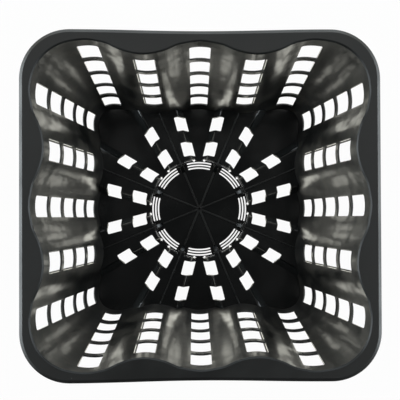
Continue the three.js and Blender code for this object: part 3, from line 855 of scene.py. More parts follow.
@dataclass(frozen=True)
class Wall:
    """The leaning wavy wall with its columns of slots: four sides and four corners.

    The arches in its lower edge end arch_gap above the raised sectors' underside. Where two stretches
    meet, their edges are rounded by joint only. An arch's edges are looked up among SIDE_COUNT points
    of a side, a rib has RIB_COUNT points, and the points of an outline lie no more than STEP apart.
    """

    SIDE_COUNT = 1200
    RIB_COUNT = 14
    STEP = 3.2

    sizes: BasketSizes
    surface: WallSurface
    slot_fillet: float = 1.6
    slot_trim: tuple[float, float] = (0.2, 0.75)
    corner_shift: float = 0.5
    arch_fillet: float = 1.5
    arch_gap: float = 0.1
    spacing: float = 4.0
    joint: float = 0.004

    def arch_edges(self, z: float) -> tuple[float, float]:
        """Offsets along a side where a raised sector's two sides meet the wall, at a height."""
        form = SectorForm(self.sizes, 2 * self.sizes.foot_half_angle)
        along = np.linspace(0, self.sizes.corner_offset, self.SIDE_COUNT)
        point, _normal = self.surface.middle(along, np.full(self.SIDE_COUNT, z))
        cos, sin = math.cos(form.direction), math.sin(form.direction)
        distance, across = point @ [cos, sin], point @ [-sin, cos]
        side = form.side_middle(distance, z)
        return float(np.interp(0, across + side, along)), float(np.interp(0, across - side, along))

    def slot(self, column: Column, row: int) -> Chain:
        """The line round a slot, turned so that the wall is on its left."""
        s, (aside, upward) = self.sizes, self.slot_trim
        half, tall = s.slot_width / 2 - aside, s.slot_height / 2 - upward
        middle = s.slot_middle(row) - column.drop
        sill = middle - tall + (column.rise if row == s.wave_rows - 1 else 0.0)
        corners = [(-half, sill), (-half, middle + tall), (half, middle + tall), (half, sill)]
        return chain_of([Corner(column.middle + x, y, self.slot_fillet) for x, y in corners], self.STEP)

    def panel(self, start: float, end: float, lower: list[Corner], columns: list[Column],
              name: str) -> bpy.types.Object:
        """A stretch of wall between two joints.

        Args:
            start: distance round the wall at its first joint.
            end: distance at its last joint.
            lower: corners of its lower edge, from the first joint to the last.
            columns: its columns of slots.
            name: the object's name.

        Returns:
            The stretch of wall.
        """
        s = self.sizes
        top = s.height - s.rim_thickness / 2
        last = lower[-1]
        corners = [*lower[:-1], Corner(last.x, last.y, 0, self.joint), Corner(end, top),
                   Corner(start, top, 0, self.joint)]
        holes = [self.slot(column, row) for column in columns for row in range(column.rows)]
        parts = MeshParts()
        Sheet(chain_of(corners, self.STEP), holes, s.wall, self.spacing).lay(parts, self.surface.place)
        return parts.build(name)

    def build(self, material: bpy.types.Material) -> None:
        """Makes and dresses the eight stretches of wall."""
        s, turn = self.sizes, self.surface.turn
        arch = s.floor_step + self.arch_gap
        (near, far), (near_low, far_low) = self.arch_edges(arch), self.arch_edges(0.0)
        wave = s.corner_offset / 2
        ease = self.arch_fillet
        for side in Side:
            u = side.value * turn
            name = f"side_wall_{side.word}"
            columns = [Column(u - wave, s.wave_rows, s.wave_slot_drop, s.low_slot_rise),
                       Column(u, s.lobe_rows),
                       Column(u + wave, s.wave_rows, s.wave_slot_drop, s.low_slot_rise)]
            lower = [Corner(u - far, arch), Corner(u - near, arch, ease), Corner(u - near_low, 0.0),
                     Corner(u + near_low, 0.0), Corner(u + near, arch, ease), Corner(u + far, arch)]
            finish(self.panel(u - far, u + far, lower, columns, f"{name}_shell"), material, Slot.WALL,
                   [name])
            name = f"corner_wall_{corner_word(side)}"
            shifted = s.corner_offset - self.corner_shift
            columns = [Column(middle, s.lobe_rows, 0.0, s.low_slot_rise)
                       for middle in (u + shifted, u + turn - shifted)]
            lower = [Corner(u + far, arch), Corner(u + far_low, 0.0), Corner(u + turn - far_low, 0.0),
                     Corner(u + turn - far, arch)]
            finish(self.panel(u + far, u + turn - far, lower, columns, f"{name}_shell"), material, Slot.WALL,
                   [name])

    def rib_paths(self) -> list[tuple[np.ndarray, np.ndarray, np.ndarray]]:
        """Paths of the ribs along both sides of each column of slots."""
        s, turn = self.sizes, self.surface.turn
        wave = s.corner_offset / 2
        top = s.height - s.first_slot_drop + s.rib_end
        count = self.RIB_COUNT
        paths = []
        for side in Side:
            middles = [(0.0, s.rib_end), (-wave, s.floor_step), (wave, s.floor_step),
                       (s.corner_offset, s.rib_end), (turn - s.corner_offset, s.rib_end)]
            for middle, bottom in middles:
                for sign in (-1, 1):
                    u = side.value * turn + middle + sign * (s.slot_width + s.rib_width) / 2
                    flat = np.stack([np.full(count, u), np.linspace(bottom, top, count)], -1)
                    offset = np.full(count, s.wall / 2 + (s.rib_depth - s.rib_bite) / 2)
                    outward = Sheet.normal_at(self.surface.place, flat)
                    paths.append((self.surface.place(flat, offset), outward, np.ones(count)))
        return paths


@dataclass(frozen=True)
class Rim:
    """Flat flange over the wall: wavy inner lip, bevelled outer edge and turned-down skirt.

    The bevel's chamfer is given across and down. The skirt's hollow meets the flange in a bend,
    whose middle lies bend_middle from both faces. Its section is placed at STATION_COUNT places round
    the wall, and its rounded corners have ARRIS_PIECES segments.
    """

    STATION_COUNT = 480
    ARRIS_PIECES = 3

    sizes: BasketSizes
    surface: WallSurface
    arris: float = 0.3
    lip_chamfer: float = 1.1
    chamfer: tuple[float, float] = (3.0, 2.4)
    skirt_edge: float = 0.5
    bend: float = 2.5
    bend_middle: float = 0.7

    def stations(self) -> np.ndarray:
        """Distances round the wall at which the flange's section is placed."""
        return np.arange(0, 4 * self.surface.turn, 4 * self.surface.turn / self.STATION_COUNT)

    def outer_edge(self, u: np.ndarray) -> tuple[np.ndarray, np.ndarray]:
        """Outer edge of the flange in plan, with its outward directions.

        Args:
            u: distances round the wall.

        Returns:
            Points and directions.
        """
        s = self.sizes
        side = np.floor((u + s.corner_offset) / self.surface.turn)
        along = u - side * self.surface.turn
        face = side.astype(int) % 4
        out = np.stack([np.cos(face * math.pi / 2), np.sin(face * math.pi / 2)], -1)
        following = np.stack([-out[:, 1], out[:, 0]], -1)
        half = np.where(face % 2 == 0, *s.rim_half)
        other = np.where(face % 2 == 0, *s.rim_half[::-1])
        bow = (face % 2) * s.rim_bow * np.cos(math.pi * np.clip(along / s.corner_offset, -1, 1) / 2) ** 2
        slope = ((face % 2) * s.rim_bow * math.pi / (2 * s.corner_offset)
                 * np.sin(math.pi * along / s.corner_offset))
        flat = out * (half - bow)[:, None] + following * (along * (other - s.rim_corner_radius)
                                                          / s.corner_offset)[:, None]
        flat_normal = normalised(out - following * slope[:, None])
        angle = (along - s.corner_offset) / self.surface.CORNER_LENGTH * math.pi / 2
        turned = out * np.cos(angle)[:, None] + following * np.sin(angle)[:, None]
        bent = (out * (half - s.rim_corner_radius)[:, None]
                + following * (other - s.rim_corner_radius)[:, None] + turned * s.rim_corner_radius)
        on_side = (along <= s.corner_offset)[:, None]
        return np.where(on_side, flat, bent), np.where(on_side, flat_normal, turned)

    def section(self) -> list[tuple[bool, float, float, float]]:
        """Section of the flange.

        Returns:
            For each point: whether it keeps to the outer edge, its distance inward from there or
            from the wall's middle, its height, and the angle of its normal above the outward way.
        """
        s = self.sizes
        rows = []

        def corner(outer: bool, x: float, z: float, radius: float, start: float, end: float) -> None:
            """Adds a rounded corner about a centre."""
            for k in range(self.ARRIS_PIECES + 1):
                angle = math.radians(start + (end - start) * k / self.ARRIS_PIECES)
                rows.append((outer, x - radius * math.cos(angle), z + radius * math.sin(angle),
                             math.degrees(angle)))

        top, under, arris = s.height, s.height - s.rim_thickness, self.arris
        lip = s.wall / 2 + s.rim_lip
        ease = math.tan(math.radians(45) / 2) * arris
        corner(False, lip - arris, top - self.lip_chamfer - ease, arris, 180, 135)
        corner(False, lip - self.lip_chamfer - ease, top - arris, arris, 135, 90)
        across, down = self.chamfer
        facing = math.degrees(math.atan2(across, down))
        ease = math.tan(math.radians(90 - facing) / 2) * arris
        corner(True, across + ease, top - arris, arris, 90, facing)
        ease = math.tan(math.radians(facing) / 2) * arris
        corner(True, arris, top - down - ease, arris, facing, 0)
        edge, low = self.skirt_edge, top - s.skirt_drop + self.skirt_edge
        corner(True, edge, low, edge, 0, -90)
        corner(True, s.skirt_thickness - edge, low, edge, -90, -180)
        rows.append((True, s.skirt_thickness, under - self.bend, -180))
        rows.append((True, s.skirt_thickness + self.bend_middle, under - self.bend_middle, -135))
        rows.append((True, s.skirt_thickness + self.bend, under, -90))
        corner(False, lip - arris, under + arris, arris, -90, -180)
        return rows

    def build(self, material: bpy.types.Material) -> None:
        """Makes and dresses the flange."""
        u = self.stations()
        top = np.full(len(u), self.sizes.height)
        wall_point, wall_out = self.surface.middle(u, top)
        edge_point, edge_out = self.outer_edge(u)
        points, normals = [], []
        for outer, inward, z, angle in self.section():
            base, out = (edge_point, edge_out) if outer else (wall_point, wall_out)
            tilt = math.radians(angle)
            plan = base - out * inward
            points.append(np.concatenate([plan, np.full((len(u), 1), z)], 1))
            normals.append(np.concatenate([out * math.cos(tilt), np.full((len(u), 1), math.sin(tilt))], 1))
        count, rows = len(u), len(points)
        faces = []
        for row in range(rows):
            above = (row + 1) % rows
            for k in range(count):
                on = (k + 1) % count
                faces.append([row * count + k, above * count + k, above * count + on, row * count + on])
        parts = MeshParts()
        parts.add(np.concatenate(points), np.concatenate(normals), faces)
        finish(parts.build("rim_flange_shell"), material, Slot.RIM, ["rim_flange"])


@dataclass(frozen=True)
class SectorForm:
    """Folded sheet of a raised sector: a flat top, leaning sides and the bends between them.

    The flat coordinates are the distance along the sector's axis and the length across the sheet.
    Its side is found by a search that starts at SIDE_GUESS from the ray and closes SEARCH_PACE of the
    way at a time. The seeds lie SEED_STEP apart, at shares of the bend.
    """

    SIDE_GUESS = -5.0
    SEARCH_PACE = 0.9
    SEED_STEP = 1.3
    SEED_SHARES = (0, 0.34, 0.67, 1.0)

    sizes: BasketSizes
    direction: float
    thickness: float = 1.8
    bend: float = 1.1
    trim: float = 0.25

    @property
    def middle_height(self) -> float:
        """Height of the middle of the flat top."""
        return self.sizes.raised_top - self.thickness / 2

    def half_width(self, distance: np.ndarray, z: float) -> np.ndarray:
        """Half the outer width at a distance along the axis and a height."""
        s = self.sizes

        def edge(angle: float, spread: float) -> np.ndarray:
            """Half width of the line that leaves the ring at an angle and spreads by another."""
            at_ring = math.radians(angle)
            reach = distance - s.ring_radius * math.cos(at_ring)
            return s.ring_radius * math.sin(at_ring) + reach * math.tan(math.radians(spread))

        foot, top = edge(*s.step_foot), edge(*s.step_top)
        return foot + (top - foot) * (z - s.floor) / s.floor_step

    def fold(self, distance: np.ndarray) -> tuple[np.ndarray, ...]:
        """Where the bend begins, how far it turns, and where it ends, at a distance along the axis.

        Args:
            distance: distance along the axis.

        Returns:
            Length at which the bend begins, its angle, and the length and offset at its end.
        """
        s = self.sizes
        lean = np.arctan((self.half_width(distance, s.floor) - self.half_width(distance, s.raised_top))
                         / s.floor_step)
        turn = math.pi / 2 - lean
        corner = self.half_width(distance, self.middle_height) - self.thickness / 2 / np.cos(lean)
        start = corner - self.bend * np.tan(turn / 2)
        return start, turn, start + self.bend * turn, start + self.bend * np.sin(turn)

    def side_middle(self, distance: np.ndarray, z: float) -> np.ndarray:
        """Offset of the middle of a leaning side at a distance along the axis and a height."""
        _start, turn, _end, _offset = self.fold(distance)
        return self.half_width(distance, z) - self.thickness / 2 / np.sin(turn)

    def place(self, flat: np.ndarray, offset: np.ndarray) -> np.ndarray:
        """Points in space of (distance, length across) pairs, moved along the sheet's normal."""
        distance, length = flat[:, 0], np.abs(flat[:, 1])
        start, turn, end, end_offset = self.fold(distance)
        angle = np.clip((length - start) / self.bend, 0, turn)
        straight = np.maximum(length - end, 0)
        across = np.where(length < start, length, start + self.bend * np.sin(angle))
        across = np.where(length > end, end_offset + straight * np.cos(turn), across)
        height = self.middle_height - self.bend * (1 - np.cos(angle)) - straight * np.sin(turn)
        across = (across + offset * np.sin(angle)) * np.where(flat[:, 1] < 0, -1, 1)
        height = height + offset * np.cos(angle)
        cos, sin = math.cos(self.direction), math.sin(self.direction)
        return np.stack([distance * cos - across * sin, distance * sin + across * cos, height], -1)

    def unfold(self, plan: np.ndarray) -> np.ndarray:
        """Flat coordinates of points of the sheet given in plan, along and across the axis."""
        across = np.abs(plan[:, 1])
        start, turn, end, end_offset = self.fold(plan[:, 0])
        bent = start + self.bend * np.arcsin(np.clip((across - start) / self.bend, 0, 1))
        length = np.where(across < start, across, bent)
        length = np.where(across > end_offset, end + (across - end_offset) / np.cos(turn), length)
        return np.stack([plan[:, 0], length * np.sign(plan[:, 1])], -1)

    def drain_end(self, side: int, radius: float, inward: float) -> np.ndarray:
        """A point beside the foot's edge ray in plan, along and across the axis.

        Args:
            side: -1 for the sector's right edge, 1 for its left edge.
            radius: distance along the ray.
            inward: distance from the ray toward the sector's axis.

        Returns:
            The point.
        """
        ray = self.sizes.foot_half_angle
        return np.array([radius * math.cos(ray) + inward * math.sin(ray),
                         side * (radius * math.sin(ray) - inward * math.cos(ray))])

    def drain_edge(self, radius: float, edge: int) -> float:
        """Distance of a drain hole's edge (-1 low, 1 high) from the ray, toward the sector's axis."""
        s = self.sizes
        middle = s.drain_shift + (radius - s.drain_radii[0]) * math.tan(s.drain_slant)
        return middle + edge * (s.drain_width / 2 - self.trim)

    def side_at(self, radius: float, z: float) -> float:
        """Distance of the leaning side's middle from the ray, toward the sector's axis."""
        inward = self.SIDE_GUESS
        for _ in range(SEARCH_ROUNDS):
            point = self.drain_end(1, radius, inward)
            inward += (point[1] - float(self.side_middle(np.array([point[0]]), z)[0])) * self.SEARCH_PACE
        return inward

    def seeds(self, start: float, end: float) -> np.ndarray:
        """Points along both bends, so that the sheet's triangles follow them."""
        distance = np.arange(start, end, self.SEED_STEP)
        first, turn, _end, _offset = self.fold(distance)
        rows = [first + self.bend * turn * share for share in self.SEED_SHARES]
        points = [np.stack([distance, sign * row], -1) for row in rows for sign in (-1, 1)]
        return np.concatenate(points)


@dataclass(frozen=True)
class Floor:
    """The star-shaped floor: feet, raised sectors, slotted ring, disc and ribs.

    Bars and walls that stand on the floor sink into it, and reach past each other by overlap. The
    end wall is longer at its foot than at its head, and both half lengths are given. The pips are the
    small notches in the ring's outer edge, and the pins' marks are a groove round each pin.

    The counts say how many points lie across a sector's outer end, along its inner end, along a
    foot's outer end, and along a rib and a ridge. A sheet reaches the wall by a search that starts at
    WALL_GUESS from the axis. Seeds follow a sector's bends over BENDS_FROM_TO. The inner lip's half
    width is taken at LIP_FROM_AXIS, and the leaning side's SIDE_FROM_LIP farther out. The steps are
    the longest distances between points of an outline, and WHOLE is longer than any edge that needs
    no points between its ends.
    """

    SECTOR_OUTER_COUNT = 61
    SECTOR_INNER_COUNT = 25
    FOOT_OUTER_COUNT = 25
    RIB_COUNT = 12
    RIDGE_COUNT = 9
    WALL_GUESS = 108.0
    BENDS_FROM_TO = (53.0, 112.0)
    LIP_FROM_AXIS = 50.0
    SIDE_FROM_LIP = 0.5
    STEP = 3.0
    CURVE_STEP = 2.5
    FINE_STEP = 2.0
    PIN_STEP = 1.2
    OUTLINE_STEP = 0.9
    FOOT_STEP = 4.0
    WHOLE = 30.0
    RING_SPACING = 2.0
    DISC_SPACING = 4.0

    sizes: BasketSizes
    surface: WallSurface
    fillet: float = 1.1
    small_fillet: float = 0.3
    spacing: float = 5.0
    sector_bottom: float = 0.3
    lip_edge: float = 0.7
    lip_inset: float = 0.6
    sink: float = 0.1
    overlap: float = 1.0
    end_wall_half: tuple[float, float] = (13.9, 12.4)
    end_wall_drop: float = 1.2
    end_wall_gap: float = 0.1
    tongue_drop: float = 0.05
    tongue_edge: float = 0.8
    ramp_start: float = 1.3
    ramp_toe: float = 0.9
    ramp_edge: float = 0.9
    ramp_fillet: float = 0.4
    grille_fillet: float = 0.6
    grille_edge: float = 0.25
    pip_inner: float = 51.2
    pip_outer: float = 53.3
    pip_angle: float = 6.0
    pip_width: float = 1.9
    pip_fillet: float = 0.4
    pip_edge: float = 0.2
    pin_radius: float = 5.8
    pin_distance: float = 30.0
    pin_turns: tuple[int, ...] = (80, 170, 260, 350)
    pin_groove: float = 0.12
    pin_sink: float = 0.06
    bar_fillet: float = 0.5
    rib_bite: float = 0.6
    ridge_bite: float = 0.4
    ridge_start: float = 0.2
    ridge_end: float = 0.3
    ridge_taper: tuple[float, float] = (1.05, 0.85)
    joint: float = 0.004

    def wall_radius(self, points: np.ndarray) -> np.ndarray:
        """Distance of the wall's middle from the axis, in the direction and at the height of points."""
        angle = np.arctan2(points[:, 1], points[:, 0])
        share = points[:, 2] / self.sizes.raised_top
        reaches = [np.interp(angle, *self.surface.polar_outline(z, 0.0), period=2 * math.pi)
                   for z in (0.0, self.sizes.raised_top)]
        return reaches[0] + (reaches[1] - reaches[0]) * share

    def drain_notches(self, form: SectorForm, side: int, z: float, edge: int,
                      fillet: float) -> list[Corner]:
        """Corners of both drain holes along a leaning side, from the ring outward.

        Args:
            form: the raised sector.
            side: -1 for its right side, 1 for its left side.
            z: height at which the side is cut.
            edge: which edge of the holes is followed, -1 the low one or 1 the high one.
            fillet: fillet of the holes' corners.

        Returns:
            The corners in plan, along and across the sector's axis.
        """
        s = self.sizes
        corners = []
        for radius in s.drain_radii:
            half, small = s.drain_length / 2 - form.trim, self.small_fillet
            low, high = radius - half, radius + half
            stops = [(low, form.side_at(low, z), small), (low, form.drain_edge(low, edge), fillet),
                     (high, form.drain_edge(high, edge), fillet), (high, form.side_at(high, z), small)]
            corners += [Corner(*form.drain_end(side, far, inward), ease) for far, inward, ease in stops]
        return corners

    def sector_outline(self, form: SectorForm) -> Chain:
        """Outline of the folded sheet, with the drain holes as notches in its lower edges."""
        bottom, ring = self.sector_bottom, self.sizes.ring_radius
        share = np.linspace(-1, 1, self.SECTOR_OUTER_COUNT)
        distance = np.full(self.SECTOR_OUTER_COUNT, self.WALL_GUESS)
        for _ in range(SEARCH_ROUNDS):
            _start, turn, end, _offset = form.fold(distance)
            drop = form.middle_height - form.bend * (1 - np.cos(turn)) - bottom
            length = share * (end + drop / np.sin(turn))
            points = form.place(np.stack([distance, length], -1), np.zeros(self.SECTOR_OUTER_COUNT))
            distance = distance * self.wall_radius(points) / np.hypot(points[:, 0], points[:, 1])
        cos, sin = math.cos(form.direction), math.sin(form.direction)
        across = points[:, 1] * cos - points[:, 0] * sin
        wall_end = [Corner(x, y) for x, y in zip(distance, across)]

        def along_circle(radius: float, y: float, edge: float) -> Corner:
            """A corner at a radius and a distance across the axis, with its edge rounding."""
            return Corner(math.sqrt(radius ** 2 - y ** 2), y, 0.0, edge)

        hollow = np.array([self.LIP_FROM_AXIS])
        lip = float(form.half_width(hollow, form.sizes.raised_top / 2)[0]) - self.lip_inset
        side = float(form.side_middle(hollow + self.SIDE_FROM_LIP, bottom)[0])
        across_lip = np.linspace(lip, -lip, self.SECTOR_INNER_COUNT)
        inner = [along_circle(self.pip_outer, y, SHEET_EDGE) for y in (side, lip + NUDGE)]
        inner += [along_circle(ring, y, self.lip_edge) for y in across_lip]
        inner += [along_circle(self.pip_outer, y, SHEET_EDGE) for y in (-lip - NUDGE, -side)]
        right = self.drain_notches(form, -1, bottom, 1, self.fillet)
        left = self.drain_notches(form, 1, bottom, 1, self.fillet)[::-1]
        outline = chain_of([*right, *wall_end, *left, *inner], self.OUTLINE_STEP)
        outline.points = form.unfold(outline.points)
        return outline

    def foot(self, direction: float, name: str, material: bpy.types.Material) -> None:
        """Makes and dresses the low floor under a lobe."""
        s = self.sizes
        z = s.floor / 2
        beside = []
        for side in (-1, 1):
            form = SectorForm(s, direction + side * 2 * s.foot_half_angle)
            cos, sin = math.cos(form.direction), math.sin(form.direction)
            stops = [Corner(*form.drain_end(-side, s.ring_radius, form.side_at(s.ring_radius, z)))]
            stops += self.drain_notches(form, -side, z, -1, self.small_fillet)
            far = self.WALL_GUESS
            for _ in range(SEARCH_ROUNDS):
                point = form.drain_end(-side, far, form.side_at(far, z))
                world = np.array([[point[0] * cos - point[1] * sin, point[0] * sin + point[1] * cos, z]])
                far *= float(self.wall_radius(world)[0]) / math.hypot(*point)
            stops.append(Corner(*form.drain_end(-side, far, form.side_at(far, z))))
            beside.append([Corner(c.x * cos - c.y * sin, c.x * sin + c.y * cos, c.fillet) for c in stops])
        right, left = beside
        ends = [math.atan2(edge[-1].y, edge[-1].x) for edge in (right, left)]
        starts = [math.atan2(edge[0].y, edge[0].x) for edge in (left, right)]
        end = ends[0] + math.remainder(ends[1] - ends[0], 2 * math.pi)
        swing = np.linspace(ends[0], end, self.FOOT_OUTER_COUNT + 2)[1:-1]
        ray = np.stack([np.cos(swing), np.sin(swing), np.full(self.FOOT_OUTER_COUNT, z)], -1)
        wall_arc = [Corner(x, y) for x, y in ray[:, :2] * self.wall_radius(ray)[:, None]]
        end = starts[0] + math.remainder(starts[1] - starts[0], 2 * math.pi)
        inner = arc(s.ring_radius, starts[0], end, self.CURVE_STEP)
        inner_arc = [Corner(x, y, 0.0, self.joint) for x, y in inner[1:-1]]
        left[0] = Corner(left[0].x, left[0].y, 0.0, self.joint)
        outline = chain_of([*right, *wall_arc, *left[::-1], *inner_arc], self.FOOT_STEP)
        parts = MeshParts()
        Sheet(outline, [], s.floor, self.spacing).lay(parts, level(s.floor / 2))
        finish(parts.build(f"{name}_plate"), material, Slot.FLOOR, [name])

    def bar(self, parts: MeshParts, corners: list[Corner], edge: float, width: float,
            direction: float) -> None:
        """Adds an upright bar along a direction.

        Args:
            parts: the piece that is being put together.
            corners: its side view, by distance from the axis and height.
            edge: rounding of its edges.
            width: its width.
            direction: the direction it runs in.
        """
        line = chain_of([Corner(c.x, c.y, c.fillet, edge) for c in corners], self.WHOLE)
        Sheet(line, [], width, self.WHOLE).lay(parts, upright(direction))

    def sector(self, direction: float, name: str, material: bpy.types.Material) -> None:
        """Makes and dresses a raised sector: folded sheet, end wall, tongue and ramp."""
        s = self.sizes
        form = SectorForm(s, direction)
        parts = MeshParts()
        seeds = form.seeds(*self.BENDS_FROM_TO)
        Sheet(self.sector_outline(form), [], form.thickness, self.spacing, seeds).lay(parts, form.place)
        top, base = s.raised_top, s.floor - self.sink
        radius = s.ring_radius + self.end_wall_gap + s.step_wall / 2
        middle, upper = direction * radius, top - self.end_wall_drop
        foot, head = self.end_wall_half
        box = [Corner(middle - foot, base), Corner(middle + foot, base), Corner(middle + head, upper),
               Corner(middle - head, upper)]
        Sheet(chain_of(box, self.STEP), [], s.step_wall, self.STEP).lay(parts, round_axis(radius))
        end, far, over = s.tongue_end, radius + self.overlap, top - self.tongue_drop
        tongue = [Corner(end, base), Corner(far, base), Corner(far, over),
                  Corner(end, over, self.tongue_edge)]
        self.bar(parts, tongue, self.tongue_edge, s.tongue_width, direction)
        toe, far, crest = s.disc_radius + self.ramp_start, end + self.overlap, s.floor + s.ramp_height
        ramp = [Corner(toe, base), Corner(far, base), Corner(far, crest),
                Corner(end, crest, self.ramp_fillet),
                Corner(toe, s.floor + self.ramp_toe, self.small_fillet)]
        self.bar(parts, ramp, self.ramp_edge, s.ramp_width, direction)
        finish(parts.build(f"{name}_plate"), material, Slot.FLOOR, [name])

    def ring(self, material: bpy.types.Material) -> None:
        """Makes and dresses the ring with its groups of curved slots and small drain notches."""
        s = self.sizes
        width = s.grille_rows * s.grille_slot + (s.grille_rows - 1) * s.grille_bar
        first = (s.disc_radius + s.seam + s.ring_radius - width) / 2
        reach, away = math.radians(s.grille_angle), math.radians(self.pip_angle)
        holes, rim = [], []
        for group in range(s.sectors):
            middle = 2 * math.pi * group / s.sectors
            for row in range(s.grille_rows):
                near = first + row * (s.grille_slot + s.grille_bar)
                lines = np.concatenate([
                    arc(near, middle - reach, middle + reach, self.FINE_STEP),
                    arc(near + s.grille_slot, middle + reach, middle - reach, self.FINE_STEP)])
                ends = {0, len(lines) // 2 - 1, len(lines) // 2, len(lines) - 1}
                corners = [Corner(x, y, self.grille_fillet if k in ends else 0.0, self.grille_edge)
                           for k, (x, y) in enumerate(lines)]
                holes.append(chain_of(corners, self.STEP, 3))
            half = self.pip_width / 2 / s.ring_radius
            turn = middle - s.foot_half_angle * 2
            for centre in (middle - away, middle + away):
                edge = arc(s.ring_radius, turn, centre - half, self.CURVE_STEP)
                rim += [Corner(x, y, 0.0, self.joint) for x, y in edge[1:-1]]
                for radius, angle in [(s.ring_radius, centre - half), (self.pip_inner, centre - half),
                                      (self.pip_inner, centre + half), (s.ring_radius, centre + half)]:
                    rim.append(Corner(radius * math.cos(angle), radius * math.sin(angle),
                                      self.pip_fillet if radius == self.pip_inner else 0.0, self.pip_edge))
                turn = centre + half
            last = arc(s.ring_radius, turn, middle + s.foot_half_angle * 2, self.CURVE_STEP)
            rim += [Corner(x, y, 0.0, self.joint) for x, y in last[1:]]
        bore = arc(s.disc_radius, 0, -2 * math.pi, self.FINE_STEP)[:-1]
        holes.append(chain_of([Corner(x, y, 0.0, self.joint) for x, y in bore], self.STEP))
        parts = MeshParts()
        Sheet(chain_of(rim, self.STEP), holes, s.floor, self.RING_SPACING).lay(parts, level(s.floor / 2))
        finish(parts.build("slotted_ring_plate"), material, Slot.FLOOR, ["slotted_ring"])

    def disc(self, material: bpy.types.Material) -> None:
        """Makes and dresses the disc, with the faint round marks of four ejector pins."""
        s = self.sizes
        edge = arc(s.disc_radius, 0, 2 * math.pi, self.FINE_STEP)[:-1]
        rim = [Corner(x, y, 0.0, self.joint) for x, y in edge]
        marks = []
        for degrees in self.pin_turns:
            turn = math.radians(degrees)
            centre = self.pin_distance * np.array([math.cos(turn), math.sin(turn)])
            circle = arc(self.pin_radius, 0, -2 * math.pi, self.PIN_STEP)[:-1]
            marks.append([Corner(x, y, 0.0, self.pin_groove) for x, y in centre + circle])
        holes = [chain_of(mark, self.STEP) for mark in marks]
        parts = MeshParts()
        Sheet(chain_of(rim, self.STEP), holes, s.floor, self.DISC_SPACING).lay(parts, level(s.floor / 2))
        for mark in marks:
            pin = chain_of(mark[::-1], self.STEP)
            Sheet(pin, [], s.floor - self.pin_sink, self.DISC_SPACING).lay(parts, level(s.floor / 2))
        finish(parts.build("centre_disc_plate"), material, Slot.FLOOR, ["centre_disc"])

    def rib_path(self) -> tuple[np.ndarray, np.ndarray, np.ndarray]:
        """Path of a rib from the middle of the disc to its edge."""
        s = self.sizes
        count = self.RIB_COUNT
        radius = np.linspace(0.0, s.disc_radius + self.overlap, count)
        direction = s.foot_half_angle * 2
        height = np.full(count, s.floor + (s.disc_rib_height - self.rib_bite) / 2)
        points = np.stack([radius * math.cos(direction), radius * math.sin(direction), height], -1)
        return points, np.tile([0.0, 0.0, 1.0], (count, 1)), np.ones(count)

    def ridge_path(self) -> tuple[np.ndarray, np.ndarray, np.ndarray]:
        """Path of a ridge from the tongue's end out to the wall."""
        s = self.sizes
        count, direction = self.RIDGE_COUNT, s.foot_half_angle * 2
        angles, radii = self.surface.polar_outline(s.raised_top, -s.wall / 2)
        start, wall = s.tongue_end, float(np.interp(direction, angles, radii))
        radius = np.linspace(start + self.ridge_start, wall + self.ridge_end, count)
        height = np.full(count, s.raised_top + (s.ridge_height - self.ridge_bite) / 2)
        points = np.stack([radius * math.cos(direction), radius * math.sin(direction), height], -1)
        scale = np.interp(radius, [start, wall], self.ridge_taper)
        return points, np.tile([0.0, 0.0, 1.0], (count, 1)), scale

    def build(self, finishes: Finishes, sweep: RibSweep) -> None:
        """Makes and dresses every part of the floor."""
        s = self.sizes
        for side in Side:
            direction = side.value * math.pi / 2
            self.foot(direction, f"side_foot_{side.word}", finishes.floor)
            self.foot(direction + math.pi / 4, f"corner_foot_{corner_word(side)}", finishes.floor)
        for k in range(s.sectors):
            self.sector(s.foot_half_angle * 2 * (2 * k + 1), f"raised_sector_{k + 1}", finishes.floor)
        self.ring(finishes.floor)
        self.disc(finishes.floor)
        ribs = sweep.run("centre_ribs_star", [self.rib_path()], s.disc_rib_width,
                         s.disc_rib_height + self.rib_bite, self.bar_fillet, s.sectors, finishes.rib)
        finish(ribs, finishes.rib, Slot.FLOOR, ["centre_ribs"])
        ridges = sweep.run("sector_ridges", [self.ridge_path()], s.ridge_width,
                           s.ridge_height + self.ridge_bite, self.bar_fillet, s.sectors, finishes.rib)
        finish(ridges, finishes.rib, Slot.FLOOR, [])


